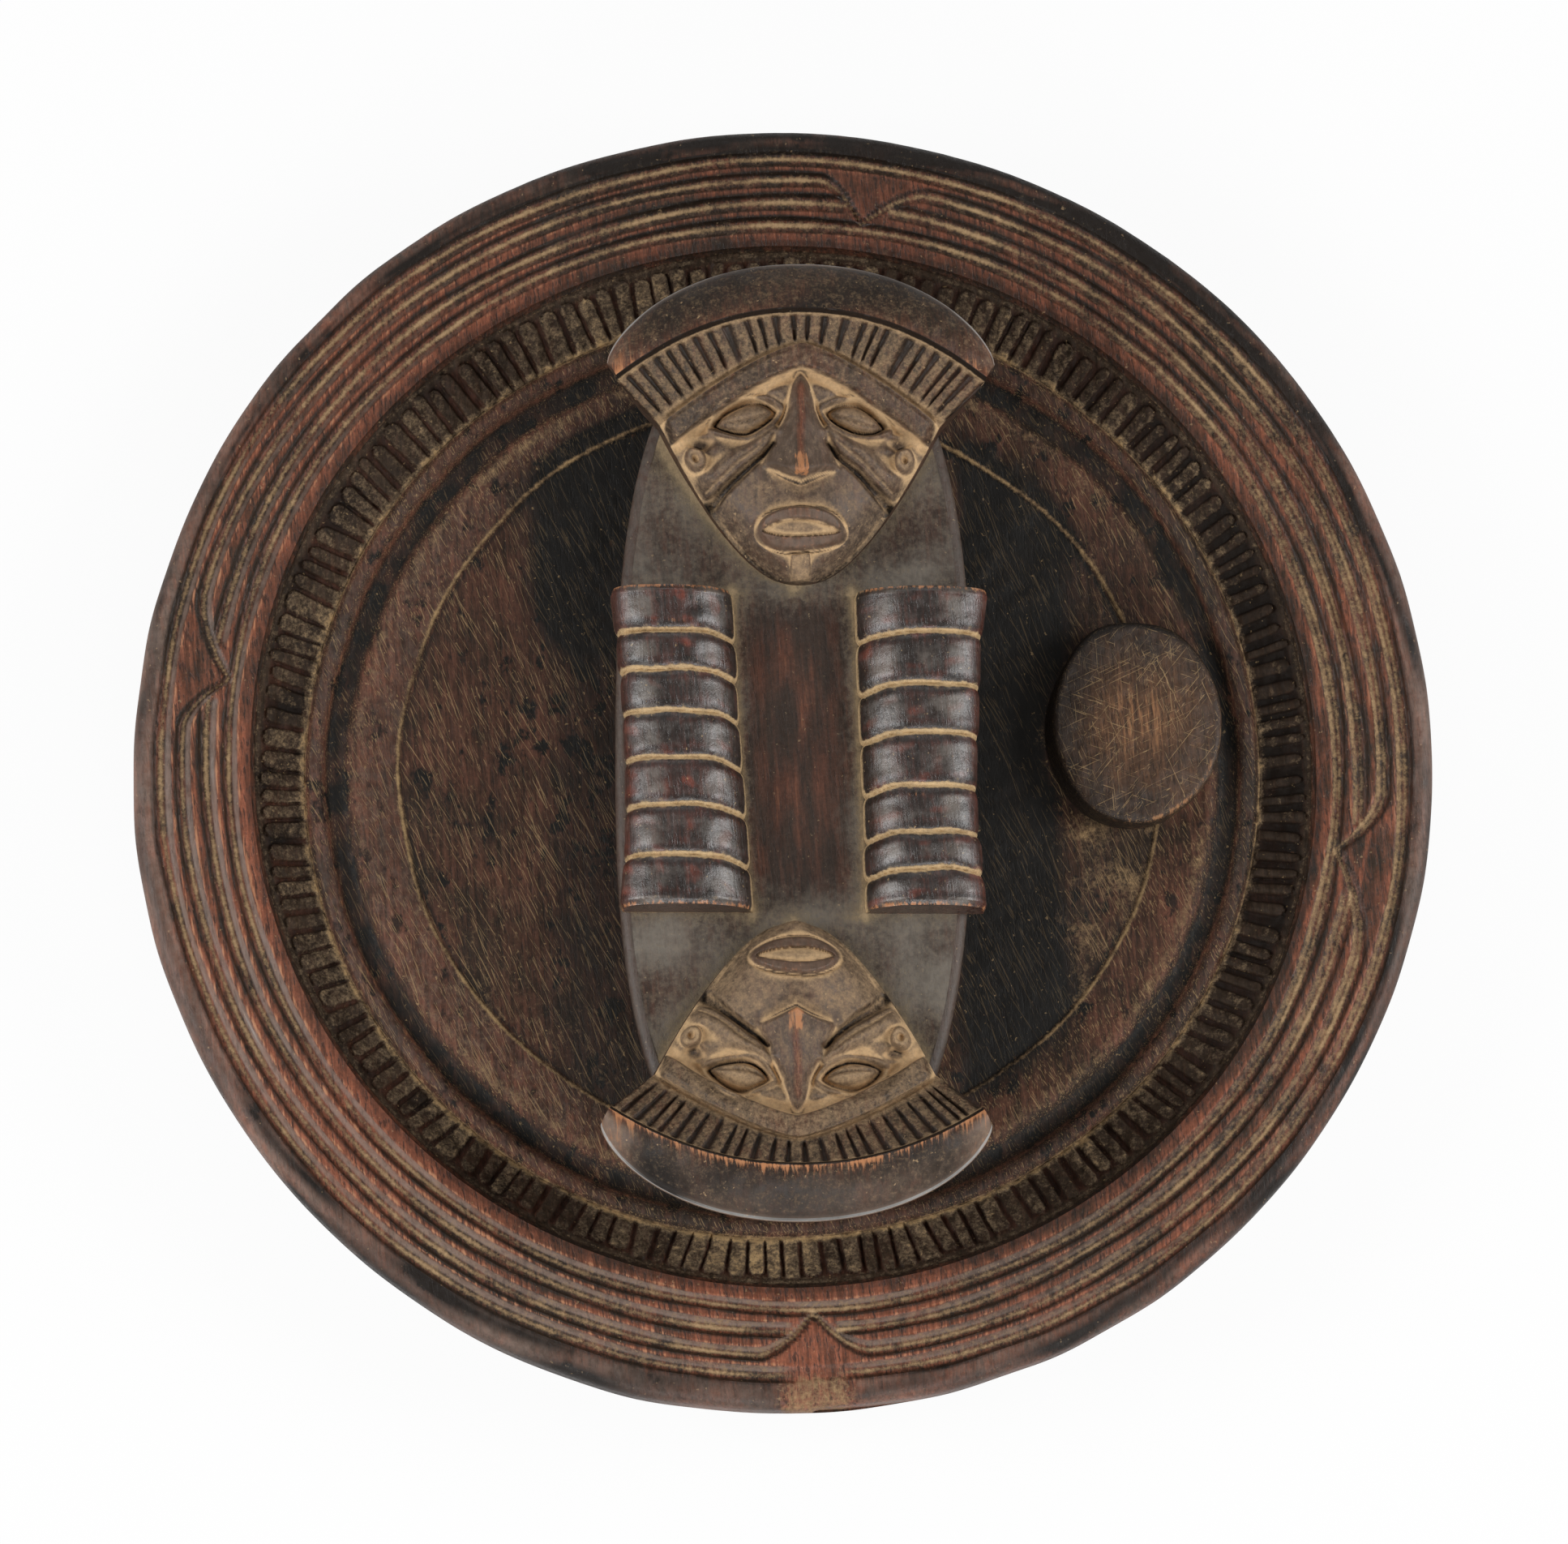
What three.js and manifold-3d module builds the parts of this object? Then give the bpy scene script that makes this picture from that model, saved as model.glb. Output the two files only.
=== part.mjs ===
// A shallow carved hardwood dish for kola nuts: a broad grooved rim, a wall of short gouged ribs, a
// raised cutting block on the floor, and a boat-shaped compartment in the middle whose lift-off lid
// carries two outward heads and two beaded rolls. Millimetres, +Z up, the foot's face at z = 0.
import * as THREE from "three";
import { mergeVertices } from "three/addons/utils/BufferGeometryUtils.js";
import Module from "manifold-3d";

// Dish, from the foot up
const bowlRadius = 175;
const footRadius = 78;
const footHeight = 9;
const footBevel = 2;
const floorThickness = 15; // from the top of the foot to the floor
const dishDepth = 16; // from the floor to the top of the rim
const lipThickness = 5; // upright part of the rim's outer edge

// Rim and its grooves
const rimWidth = 31.8;
const lipRound = 4; // rounding of the rim's outer edge
const rimFall = 1.2; // how much lower the rim's edges are than its middle
const grooveWidth = 3.2;
const grooveDepth = 1.4;
const grooveShares = [0.255, 0.431, 0.635, 0.821]; // of the rim's width, from the outside
const motifShares = [0.228, 0.476, 0.761, 0.978]; // of a turn, where the grooves dip to a point
const motifReach = 20; // half the length of rim that one dip takes

// Wall, bead, channel and floor
const rimStep = 2; // steep step under the rim's inner edge
const rimStepWidth = 1.2;
const ribCount = 164;
const ribLength = 13.6; // in plan
const ribRelief = 1.1;
const beadWidth = 6;
const beadHeight = 4.8; // above the floor
const channelWidth = 6.4;
const channelHeight = 1; // above the floor
const slopeWidth = 14; // ring that falls to the flat floor
const slopeHeight = 2;
const stepHeight = 0.8; // thin step round the flat floor

// Cutting block
const blockWidth = 46;
const blockLength = 53;
const blockHeight = 12;
const blockBevel = 1.6;
const blockInset = 3.9; // from the channel's outer edge
const blockAlong = 13; // off the dish's middle

// Compartment
const wallHalfWidth = 44;
const wallInset = 1.5; // from the edge of the flat floor to the compartment's ends
const wallThickness = 8;
const wallHeight = 29;
const compartmentShift = 2; // the compartment stands a little off the middle, as hand carving does

// Lid board and the plug that locates it
const boardThickness = 10;
const boardSideOverhang = 3.7;
const boardEndOverhang = 17.5;
const boardBevel = 2.6;
const plugDepth = 5;
const plugClearance = 1;

// Heads: each runs from its chin out to the edge of its crest
const chinDistance = 45.7; // from the middle of the lid
const headLength = 82.7;
const crestHalfWidth = 51.9;
const headHeight = 28.5;
const hairRibCount = 27;
const hairRelief = 1;
const noseHeight = 6;
const eyeHeight = 1.8;
const mouthHeight = 2;

// Beaded rolls along the lid's sides
const rollLength = 86;
const rollHeight = 15;
const rollFoot = 1.5; // upright part of a roll's side
const rollOverhang = 2.3; // past the edge of the board
const rollWidth = 33;
const beadPinch = 1.6; // how far a roll is drawn in between its beads
const leftBeadShares = [0.146, 0.157, 0.149, 0.147, 0.131, 0.121, 0.149]; // from the front
const rightBeadShares = [0.107, 0.118, 0.146, 0.164, 0.153, 0.164, 0.148];

// Fit
const seatGap = 0.3; // between the block and what it stands in

// Steps that set how fine the faces are
const turnSteps = 82; // half the ribs, so that each rib keeps its own corners
const boatSteps = 60;
const blockSteps = 32;
const archSteps = 12;
const faceSteps = 14;

// Heights and radii that follow
const floorTop = footHeight + floorThickness;
const rimTop = floorTop + dishDepth;
const wallTop = floorTop + wallHeight;
const boardTop = wallTop + boardThickness;
const rimInner = bowlRadius - rimWidth;
const ribOuter = rimInner - rimStepWidth;
const ribInner = ribOuter - ribLength;
const channelOuter = ribInner - beadWidth;
const channelInner = channelOuter - channelWidth;
const floorRadius = channelInner - slopeWidth;
const blockAcross = channelOuter - blockInset - blockWidth / 2;
const wallHalfLength = floorRadius - wallInset;
const boardHalfWidth = wallHalfWidth + boardSideOverhang;
const boardHalfLength = wallHalfLength + boardEndOverhang;

const wasm = await Module();
wasm.setup();

const mix = (a, b, share) => a + (b - a) * share;

// Points and triangles of one closed surface, put together from rows of points.
class Surface {
  constructor() {
    this.points = [];
    this.faces = [];
  }

  // Adds a row of points and returns their numbers.
  row(points) {
    return points.map((point) => this.points.push(point) - 1);
  }

  // Joins two rows with triangles, whatever their counts. Faces look outwards where the first row
  // runs to the right and the second lies above it.
  zip(first, second, closed) {
    const ends = closed ? 0 : 1;
    const firstSteps = first.length - ends;
    const secondSteps = second.length - ends;
    let i = 0;
    let j = 0;
    while (i < firstSteps || j < secondSteps) {
      const a = first[i % first.length];
      const b = second[j % second.length];
      if (j >= secondSteps || (i < firstSteps && (i + 1) * secondSteps <= (j + 1) * firstSteps)) {
        i += 1;
        this.faces.push([a, first[i % first.length], b]);
      } else {
        j += 1;
        this.faces.push([a, second[j % second.length], b]);
      }
    }
  }

  // Closes a ring with triangles to a middle point. Upward says which way they look.
  cap(ring, middle, upward) {
    const [hub] = this.row([middle]);
    ring.forEach((point, i) => {
      const next = ring[(i + 1) % ring.length];
      this.faces.push(upward ? [hub, point, next] : [hub, next, point]);
    });
  }

  geometry() {
    const geometry = new THREE.BufferGeometry();
    geometry.setAttribute("position", new THREE.Float32BufferAttribute(this.points.flat(), 3));
    geometry.setIndex(this.faces.flat());
    return geometry;
  }
}

// A solid from rings listed from the middle of its underside, out, up and back to the middle.
function turnedSolid(rings, underside, top) {
  const surface = new Surface();
  const rows = rings.map((ring) => surface.row(ring));
  surface.cap(rows[0], underside, false);
  rows.slice(1).forEach((row, i) => surface.zip(rows[i], row, true));
  surface.cap(rows.at(-1), top, true);
  return surface.geometry();
}

// A solid ring from rings that run round its section and close on themselves.
function ringSolid(rings) {
  const surface = new Surface();
  const rows = rings.map((ring) => surface.row(ring));
  rows.forEach((row, i) => surface.zip(row, rows[(i + 1) % rows.length], true));
  return surface.geometry();
}

// A solid between an upper and a lower sheet of rows. Rows run along +X and follow each other to +Y.
function sheetSolid(upperRows, lowerRows) {
  const surface = new Surface();
  const upper = upperRows.map((row) => surface.row(row));
  const lower = lowerRows.map((row) => surface.row(row));
  const leftEdge = (rows) => rows.map((row) => row[0]);
  const rightEdge = (rows) => rows.map((row) => row.at(-1));
  upper.slice(1).forEach((row, i) => surface.zip(upper[i], row, false));
  lower.slice(1).forEach((row, i) => surface.zip(row, lower[i], false));
  surface.zip(lower[0], upper[0], false);
  surface.zip(upper.at(-1), lower.at(-1), false);
  surface.zip(rightEdge(lower), rightEdge(upper), false);
  surface.zip(leftEdge(upper), leftEdge(lower), false);
  return surface.geometry();
}

function manifoldOf(geometry) {
  const bare = geometry.clone();
  bare.deleteAttribute("normal");
  bare.deleteAttribute("uv");
  const merged = mergeVertices(bare);
  return new wasm.Manifold(
    new wasm.Mesh({
      numProp: 3,
      vertProperties: merged.attributes.position.array,
      triVerts: new Uint32Array(merged.index.array),
    }),
  );
}

function geometryOf(solid) {
  const mesh = solid.getMesh();
  const geometry = new THREE.BufferGeometry();
  geometry.setAttribute("position", new THREE.BufferAttribute(mesh.vertProperties, mesh.numProp));
  geometry.setIndex(new THREE.BufferAttribute(mesh.triVerts, 1));
  return geometry;
}

function subMesh(name, geometry, color, roughness) {
  geometry.computeVertexNormals();
  const material = new THREE.MeshStandardMaterial({ color, roughness, metalness: 0 });
  const mesh = new THREE.Mesh(geometry, material);
  mesh.name = name;
  return mesh;
}

// A circle of points. Radius and height may be functions of the angle's share of a turn.
function circle(radius, height, steps = turnSteps) {
  const valueAt = (value, share, i) => (typeof value === "function" ? value(share, i) : value);
  return Array.from({ length: steps }, (_, i) => {
    const share = i / steps;
    const angle = 2 * Math.PI * share;
    const r = valueAt(radius, share, i);
    return [r * Math.cos(angle), r * Math.sin(angle), valueAt(height, share, i)];
  });
}

// How far into a dip an angle is: 1 at a point of the motif, falling to 0 at its reach.
function motifDepth(share) {
  const reach = motifReach / (2 * Math.PI * bowlRadius);
  const distances = motifShares.map((middle) => {
    const apart = Math.abs(share - middle);
    return Math.min(apart, 1 - apart);
  });
  return Math.max(0, 1 - Math.min(...distances) / reach) ** 1.4;
}

// Height of the rim at a radius, without its grooves: a low dome across its width.
function rimHeight(radius) {
  const across = (2 * (bowlRadius - radius)) / rimWidth - 1;
  return rimTop - rimFall * across ** 2;
}

// The radius of one groove's middle at an angle. The second and third dip towards the fourth, and
// each stays clear of the next one inwards.
function grooveRadius(number, share) {
  const own = bowlRadius - rimWidth * grooveShares[number];
  const last = grooveShares.length - 1;
  if (number === 0 || number === last) return own;
  const lowest = bowlRadius - rimWidth * grooveShares[last] + (last - number) * 1.1 * grooveWidth;
  return mix(own, Math.min(own, lowest), motifDepth(share));
}

function grooveRings() {
  return grooveShares.flatMap((_, number) => {
    const edge = (side) => (share) => grooveRadius(number, share) + (side * grooveWidth) / 2;
    const heightOf = (radius, sunk) => (share) => rimHeight(radius(share)) - sunk;
    return [
      circle(edge(1), heightOf(edge(1), 0)),
      circle(edge(0), heightOf(edge(0), grooveDepth)),
      circle(edge(-1), heightOf(edge(-1), 0)),
    ];
  });
}

// The underside curves up from the foot to the lip. This is its height at a radius.
function undersideHeight(radius) {
  const lipBottom = rimTop - rimFall - lipRound - lipThickness;
  const share = (radius - footRadius) / (bowlRadius - footRadius);
  return mix(footHeight, lipBottom, share ** 1.5);
}

// Rings of the underside from one radius out to another.
function undersideRings(inner, outer) {
  const shares = [0, 0.5, 1];
  return shares.map((share) => {
    const radius = mix(inner, outer, share);
    return circle(radius, undersideHeight(radius));
  });
}

function lipRings() {
  const shares = [0, 0.5, 1];
  const bottom = rimTop - rimFall - lipRound;
  return shares.map((share) => {
    const angle = (share * Math.PI) / 2;
    return circle(
      bowlRadius - lipRound * (1 - Math.cos(angle)),
      bottom + lipRound * Math.sin(angle),
    );
  });
}

function ribRings() {
  const high = (height) => (_, i) => height + (i % 2 ? -ribRelief : ribRelief) / 2;
  const steps = 2 * ribCount;
  const top = rimHeight(rimInner) - rimStep;
  const bottom = floorTop + beadHeight;
  const inner = ribInner + ribLength / ribCount;
  return [
    circle(rimInner, rimHeight(rimInner)),
    circle(ribOuter, top),
    circle(ribOuter - ribRelief, high(top - ribRelief), steps),
    circle(mix(ribOuter, ribInner, 0.5), high(mix(top, bottom, 0.5)), steps),
    circle(inner, high(bottom - ribRelief), steps),
    circle(mix(ribInner, channelOuter, 0.15), bottom - ribRelief),
    circle(mix(ribInner, channelOuter, 0.5), bottom),
    seamRing(),
  ];
}

// Where the rim and the floor of the dish meet, on the bead's inner side.
function seamRing() {
  return circle(channelOuter, floorTop + mix(channelHeight, beadHeight, 0.4));
}

function floorRings() {
  return [
    seamRing(),
    circle(mix(channelOuter, channelInner, 0.5), floorTop + channelHeight),
    circle(channelInner, floorTop + slopeHeight),
    circle(floorRadius, floorTop + stepHeight),
    circle(floorRadius - stepHeight, floorTop),
  ];
}

// The cutting block's outline at a height, grown by an amount on every side.
function blockRing(grow, height) {
  return circle(1, 0, blockSteps).map(([x, y]) => [
    x * (blockWidth / 2 + grow),
    y * (blockLength / 2 + grow),
    height,
  ]);
}

// Clears the block's seat from a piece that stands under or beside it. Shift is how far the piece's
// own group lies along +X.
function cutBlockSeat(geometry, shift) {
  const seat = turnedSolid(
    [blockRing(seatGap, floorTop), blockRing(seatGap, wallTop)],
    [0, 0, floorTop],
    [0, 0, wallTop],
  ).translate(blockAcross - shift, blockAlong, 0);
  return geometryOf(manifoldOf(geometry).subtract(manifoldOf(seat)));
}

function makeDishRim() {
  const rings = [
    ...undersideRings(channelOuter, bowlRadius),
    ...lipRings(),
    ...grooveRings(),
    ...ribRings(),
  ];
  return subMesh("dish_rim", ringSolid(rings), 0x3f271b, 0.6);
}

function makeDishFloor() {
  const rings = [
    circle(footRadius - footBevel, 0),
    circle(footRadius, footBevel),
    ...undersideRings(footRadius, channelOuter),
    ...floorRings(),
  ];
  const carved = turnedSolid(rings, [0, 0, 0], [0, 0, floorTop]);
  return subMesh("dish_floor", cutBlockSeat(carved, 0), 0x3a261b, 0.6);
}

function makeCuttingBlock() {
  const top = floorTop + blockHeight;
  const geometry = turnedSolid(
    [blockRing(0, floorTop), blockRing(0, top - blockBevel), blockRing(-blockBevel, top)],
    [0, 0, floorTop],
    [0, 0, top],
  );
  const mesh = subMesh("cutting_block", geometry, 0x54361f, 0.7);
  mesh.position.set(blockAcross, blockAlong, 0);
  return mesh;
}

// A power that keeps the sign: below 1 it turns a circle's sine and cosine into a blunter curve.
const blunt = (value, power) => Math.sign(value) * Math.abs(value) ** power;

// A boat outline with blunt ends, longest along Y, at one height.
function boatRing(halfWidth, halfLength, height) {
  return circle(1, 0, boatSteps).map(([x, y]) => [
    halfWidth * blunt(x, 0.7),
    halfLength * blunt(y, 0.77),
    height,
  ]);
}

function makeCompartmentWall() {
  const innerHalfWidth = wallHalfWidth - wallThickness;
  const innerHalfLength = wallHalfLength - wallThickness;
  const geometry = ringSolid([
    boatRing(innerHalfWidth, innerHalfLength, floorTop),
    boatRing(wallHalfWidth, wallHalfLength, floorTop),
    boatRing(wallHalfWidth, wallHalfLength, wallTop),
    boatRing(innerHalfWidth, innerHalfLength, wallTop),
  ]);
  return subMesh("compartment_wall", cutBlockSeat(geometry, compartmentShift), 0x2a1c15, 0.6);
}

function makeLidBoard() {
  const plugHalfWidth = wallHalfWidth - wallThickness - plugClearance;
  const plugHalfLength = wallHalfLength - wallThickness - plugClearance;
  const board = (inset, height) =>
    boatRing(boardHalfWidth - inset, boardHalfLength - inset, height);
  const geometry = turnedSolid(
    [
      boatRing(plugHalfWidth, plugHalfLength, wallTop - plugDepth),
      boatRing(plugHalfWidth, plugHalfLength, wallTop),
      board(boardBevel, wallTop),
      board(0, wallTop + boardBevel),
      board(0, boardTop - boardBevel),
      board(boardBevel, boardTop),
    ],
    [0, 0, wallTop - plugDepth],
    [0, 0, boardTop],
  );
  return subMesh("lid_board", geometry, 0x2d2420, 0.5);
}

// Curves across a head, each a pointed or round arch over the line from chin to crest. Shares, in
// this order: half width of the crest's, how far out the curve's middle and its ends lie along the
// head, how high these stand of the head's height, and the arch's power, lower where it is pointed.
const chinShares = [0.08, 0, 0.01, 0.14, 0.1, 2];
const hairlineShares = [0.735, 0.734, 0.505, 0.747, 0.25, 1.35];
const crestFootShares = [0.945, 0.795, 0.62, 0.88, 0.55, 2.1];
const ridgeShares = [0.957, 0.808, 0.634, 1, 0.66, 2.1];
const crestEdgeShares = [1, 1, 0.665, 0.7, 0.58, 2.35];
const crestUnderShares = [0.985, 0.985, 0.65, 0.53, 0.44, 2.35];
const neckShares = [0.735, 0.8, 0.505, 0, 0, 2.35];

const fanTurnShare = 0.154; // half angle of the crest's arc, as a share of a turn
const headSteps = 2 * hairRibCount;

// Shares of the way across a head for its columns, crowded towards the ends of the arc as on a fan.
function fanShares(steps) {
  const fanAngle = 2 * Math.PI * fanTurnShare;
  return Array.from({ length: steps + 1 }, (_, i) => {
    const across = (2 * i) / steps - 1;
    return Math.sin(fanAngle * across) / Math.sin(fanAngle);
  });
}

// One row across a head, from a curve's shares.
function headRow(curveShares, steps, lift = () => 0) {
  const [width, middle, ends, high, low, arch] = curveShares;
  return fanShares(steps).map((across, i) => {
    const drop = Math.abs(across) ** arch;
    const along = mix(middle, ends, drop);
    return [
      across * width * crestHalfWidth,
      chinDistance + headLength * along,
      boardTop + headHeight * mix(high, low, drop) + lift(across, along, i),
    ];
  });
}

// Shares of the curve that lies a share of the way between two others.
function between(firstShares, secondShares, share) {
  return firstShares.map((first, i) => mix(first, secondShares[i], share));
}

// The jaw widens fast from the chin, then slowly towards the temples.
function faceCurve(share) {
  const [, ...others] = between(chinShares, hairlineShares, share);
  const [width] = between(chinShares, hairlineShares, share ** 0.63);
  return [width, ...others];
}

// A smooth mound, 1 at its middle and 0 at its rim. Its shares: place across and along the head,
// half its width and half its length.
function mound(across, along, [middleAcross, middleAlong, halfWidth, halfLength]) {
  const wide = (Math.abs(across) - middleAcross) / halfWidth;
  const long = (along - middleAlong) / halfLength;
  return Math.max(0, 1 - wide ** 2 - long ** 2);
}

const eyePlaceShares = [0.4, 0.5, 0.24, 0.07];
const mouthPlaceShares = [0, 0.15, 0.42, 0.08];
const noseTopShare = 0.64; // along the head
const noseTipShare = 0.33;
const noseWidthShare = 0.3;

// Height of the features over the plain face: a wedge of a nose, two eyes and a mouth.
function faceRelief(across, along) {
  const down = (noseTopShare - along) / (noseTopShare - noseTipShare);
  const inNose = down > 0 && down < 1.08;
  const halfWidth = noseWidthShare * mix(0.35, 1, Math.max(0, down));
  const nose = inNose ? Math.max(0, 1 - Math.abs(across) / halfWidth) * mix(0.4, 1, down) : 0;
  return (
    nose * noseHeight +
    mound(across, along, eyePlaceShares) * eyeHeight +
    mound(across, along, mouthPlaceShares) * mouthHeight
  );
}

function makeHead(name, turn) {
  const faceShares = Array.from({ length: faceSteps + 1 }, (_, i) => i / faceSteps);
  const hairLift = (_, __, i) => (i % 2 ? hairRelief : 0);
  const upperRows = [
    ...faceShares.map((share) => headRow(faceCurve(share), headSteps, faceRelief)),
    headRow(between(hairlineShares, crestFootShares, 0.12), headSteps, hairLift),
    headRow(between(hairlineShares, crestFootShares, 0.95), headSteps, hairLift),
    headRow(crestFootShares, headSteps),
    headRow(ridgeShares, headSteps),
    headRow(between(ridgeShares, crestEdgeShares, 0.5), headSteps),
    headRow(crestEdgeShares, headSteps),
  ];
  const flat = ([width, middle, ends, , , arch]) => [width, middle, ends, 0, 0, arch];
  const lowerSteps = hairRibCount;
  const lowerRows = [
    headRow(flat(chinShares), lowerSteps),
    ...[0.1, 0.25, 0.5, 0.75].map((share) => headRow(flat(faceCurve(share)), lowerSteps)),
    headRow(neckShares, lowerSteps),
    headRow(between(neckShares, crestUnderShares, 0.6), lowerSteps),
    headRow(crestUnderShares, lowerSteps),
  ];
  const mesh = subMesh(name, sheetSolid(upperRows, lowerRows), 0x33261d, 0.55);
  mesh.rotation.z = turn;
  return mesh;
}

const withinShares = [0.08, 0.3, 0.7, 0.92]; // stations inside one bead
const swellShares = [0.35, 1, 1, 0.35];
const endSwellShare = 0.4;

// Shares of the way along a roll and how far it is drawn in there: each bead swells in its middle.
function beadStations(beadShares) {
  const total = beadShares.reduce((sum, share) => sum + share, 0);
  let start = 0;
  const stations = [{ along: 0, swell: endSwellShare }];
  for (const share of beadShares) {
    withinShares.forEach((within, i) =>
      stations.push({ along: (start + share * within) / total, swell: swellShares[i] }),
    );
    start += share;
    stations.push({ along: start / total, swell: start < total - share / 2 ? 0 : endSwellShare });
  }
  return stations;
}

function makeRoll(name, side, beadShares) {
  const middle = side * (boardHalfWidth + rollOverhang - rollWidth / 2);
  const upperRows = beadStations(beadShares).map(({ along, swell }) => {
    const pinch = beadPinch * (1 - swell);
    return Array.from({ length: archSteps + 1 }, (_, i) => {
      const angle = Math.PI * (1 - i / archSteps);
      const rise = rollHeight - rollFoot - pinch;
      return [
        middle + (rollWidth / 2 - pinch) * blunt(Math.cos(angle), 0.8),
        rollLength * (along - 0.5),
        boardTop + rollFoot + rise * blunt(Math.sin(angle), 0.7),
      ];
    });
  });
  const lowerRows = upperRows.map((row) => {
    const foot = ([x, y]) => [x, y, boardTop];
    return [foot(row[0]), foot(row.at(-1))];
  });
  return subMesh(name, sheetSolid(upperRows, lowerRows), 0x2f211a, 0.45);
}

const bowl = new THREE.Group();
bowl.add(makeDishRim(), makeDishFloor(), makeCuttingBlock());

const lid = new THREE.Group();
lid.add(
  makeLidBoard(),
  makeHead("back_head", 0),
  makeHead("front_head", Math.PI),
  makeRoll("left_roll", -1, leftBeadShares),
  makeRoll("right_roll", 1, rightBeadShares),
);

const compartment = new THREE.Group();
compartment.position.x = compartmentShift;
compartment.add(makeCompartmentWall(), lid);

const kolaNutBowl = new THREE.Group();
kolaNutBowl.add(bowl, compartment);
export default kolaNutBowl;
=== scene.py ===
import bpy
import numpy as np
from mathutils import Matrix, Vector


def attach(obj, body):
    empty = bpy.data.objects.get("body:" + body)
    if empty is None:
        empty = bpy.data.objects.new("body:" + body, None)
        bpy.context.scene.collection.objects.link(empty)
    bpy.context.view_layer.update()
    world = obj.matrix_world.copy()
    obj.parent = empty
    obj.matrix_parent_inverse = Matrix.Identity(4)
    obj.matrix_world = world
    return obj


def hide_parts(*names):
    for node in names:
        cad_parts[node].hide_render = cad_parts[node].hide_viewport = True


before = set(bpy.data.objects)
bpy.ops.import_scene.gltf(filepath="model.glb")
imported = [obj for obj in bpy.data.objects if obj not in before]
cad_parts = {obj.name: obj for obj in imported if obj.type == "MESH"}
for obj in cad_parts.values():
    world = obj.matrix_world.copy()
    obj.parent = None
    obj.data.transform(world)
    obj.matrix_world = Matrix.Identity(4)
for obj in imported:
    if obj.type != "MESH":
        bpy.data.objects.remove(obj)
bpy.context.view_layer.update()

# Looks of a carved kola nut dish with a lidded compartment. All shapes below are worked out in
# millimetres, in the frame of the CAD part, and go into their meshes in metres.
MM = 0.001

# Dish
BOWL_RADIUS = 175.0
RIM_WIDTH = 31.8
RIM_TOP = 40.0
RIM_FALL = 1.2
STEP_WIDTH = 1.2  # the step at the rim's inner edge
STEP_DROP = 2.0
LIP_ROUND = 4.0
LIP_BOTTOM = 29.8
RIB_OUTER = 142.0
RIB_INNER = 128.4
RIB_COUNT = 164
RIB_TOP = 36.8
RIB_FOOT = 27.6
FLOOR_TOP = 24.0
HEART_HEIGHT = 22.0  # hidden face between the floor and the underside
FOOT_RADIUS = 78.0
FOOT_HEIGHT = 9.0

# Compartment and lid, whose middle stands a little to the right
SHIFT = 2.0
WALL_HALF_WIDTH = 44.0
WALL_HALF_LENGTH = 100.5
WALL_THICKNESS = 8.0
WALL_TOP = 53.0
BOARD_TOP = 63.0
BOARD_HALF_WIDTH = 47.7
BOARD_HALF_LENGTH = 117.2
PLUG_DEPTH = 5.0
PLUG_CLEARANCE = 1.0

# Cutting block
BLOCK_CENTRE = (94.4, 12.5)
BLOCK_HALF = (24.0, 28.0)
BLOCK_TOP = 36.0

# Rolls and heads: the two heads differ a little, as carved
ROLL_MIDDLE = -1.6
ROLL_HALF_LENGTH = 43.1
BACK_CHIN = 43.9
FRONT_CHIN = 47.6
CREST_HALF_WIDTH = 51.7
HEAD_HEIGHT = 28.5
HAIR_RIBS = 25
JAW_POWER = 0.63  # a head's width grows as this power of the way from its chin to its hairline


def smooth(low, high, value):
    """0 below low, 1 above high, and a smooth S between them. Low may be the larger one."""
    share = np.clip((value - low) / (high - low), 0.0, 1.0)
    return share * share * (3.0 - 2.0 * share)


def mix(a, b, share):
    """A share of the way from a to b."""
    return a + (b - a) * share


def blunt(value, power):
    """A power that keeps the sign."""
    return np.sign(value) * np.abs(value) ** power


def bell(value, middle, width):
    """A soft bump, 1 at its middle, that has fallen to a third one width away."""
    return np.exp(-(((value - middle) / width) ** 2))


def round_turn(count):
    """A row of angles that divides a whole turn evenly."""
    return np.linspace(0.0, 2.0 * np.pi, count, endpoint=False)[None, :]


def wander(angle, seed, least=2, most=9):
    """A closed wavering line about 1 high: sines of least to most waves a turn, phases seeded."""
    rng = np.random.default_rng(seed)
    waves = np.arange(least, most + 1)
    phases = rng.uniform(0.0, 2.0 * np.pi, waves.size)
    sizes = rng.uniform(0.4, 1.0, waves.size) * np.sqrt(2.0 / waves.size)
    return (sizes * np.sin(np.multiply.outer(angle, waves) + phases)).sum(-1)


def ripple(x, y, length, seed, count=12):
    """An uneven surface about 1 high: a sum of plane waves near one length, directions seeded."""
    rng = np.random.default_rng(seed)
    total = np.zeros(np.broadcast(x, y).shape)
    for turn, phase, size in zip(
        rng.uniform(0.0, 2.0 * np.pi, count),
        rng.uniform(0.0, 2.0 * np.pi, count),
        length * rng.uniform(0.6, 1.5, count),
    ):
        total += np.sin(2.0 * np.pi * (x * np.cos(turn) + y * np.sin(turn)) / size + phase)
    return total / np.sqrt(count)


def lobe(angle, centre_degrees, width_degrees):
    """A soft bump round the dish, 1 at its centre."""
    apart = np.angle(np.exp(1j * (angle - np.radians(centre_degrees))))
    return bell(apart, 0.0, np.radians(width_degrees))


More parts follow.
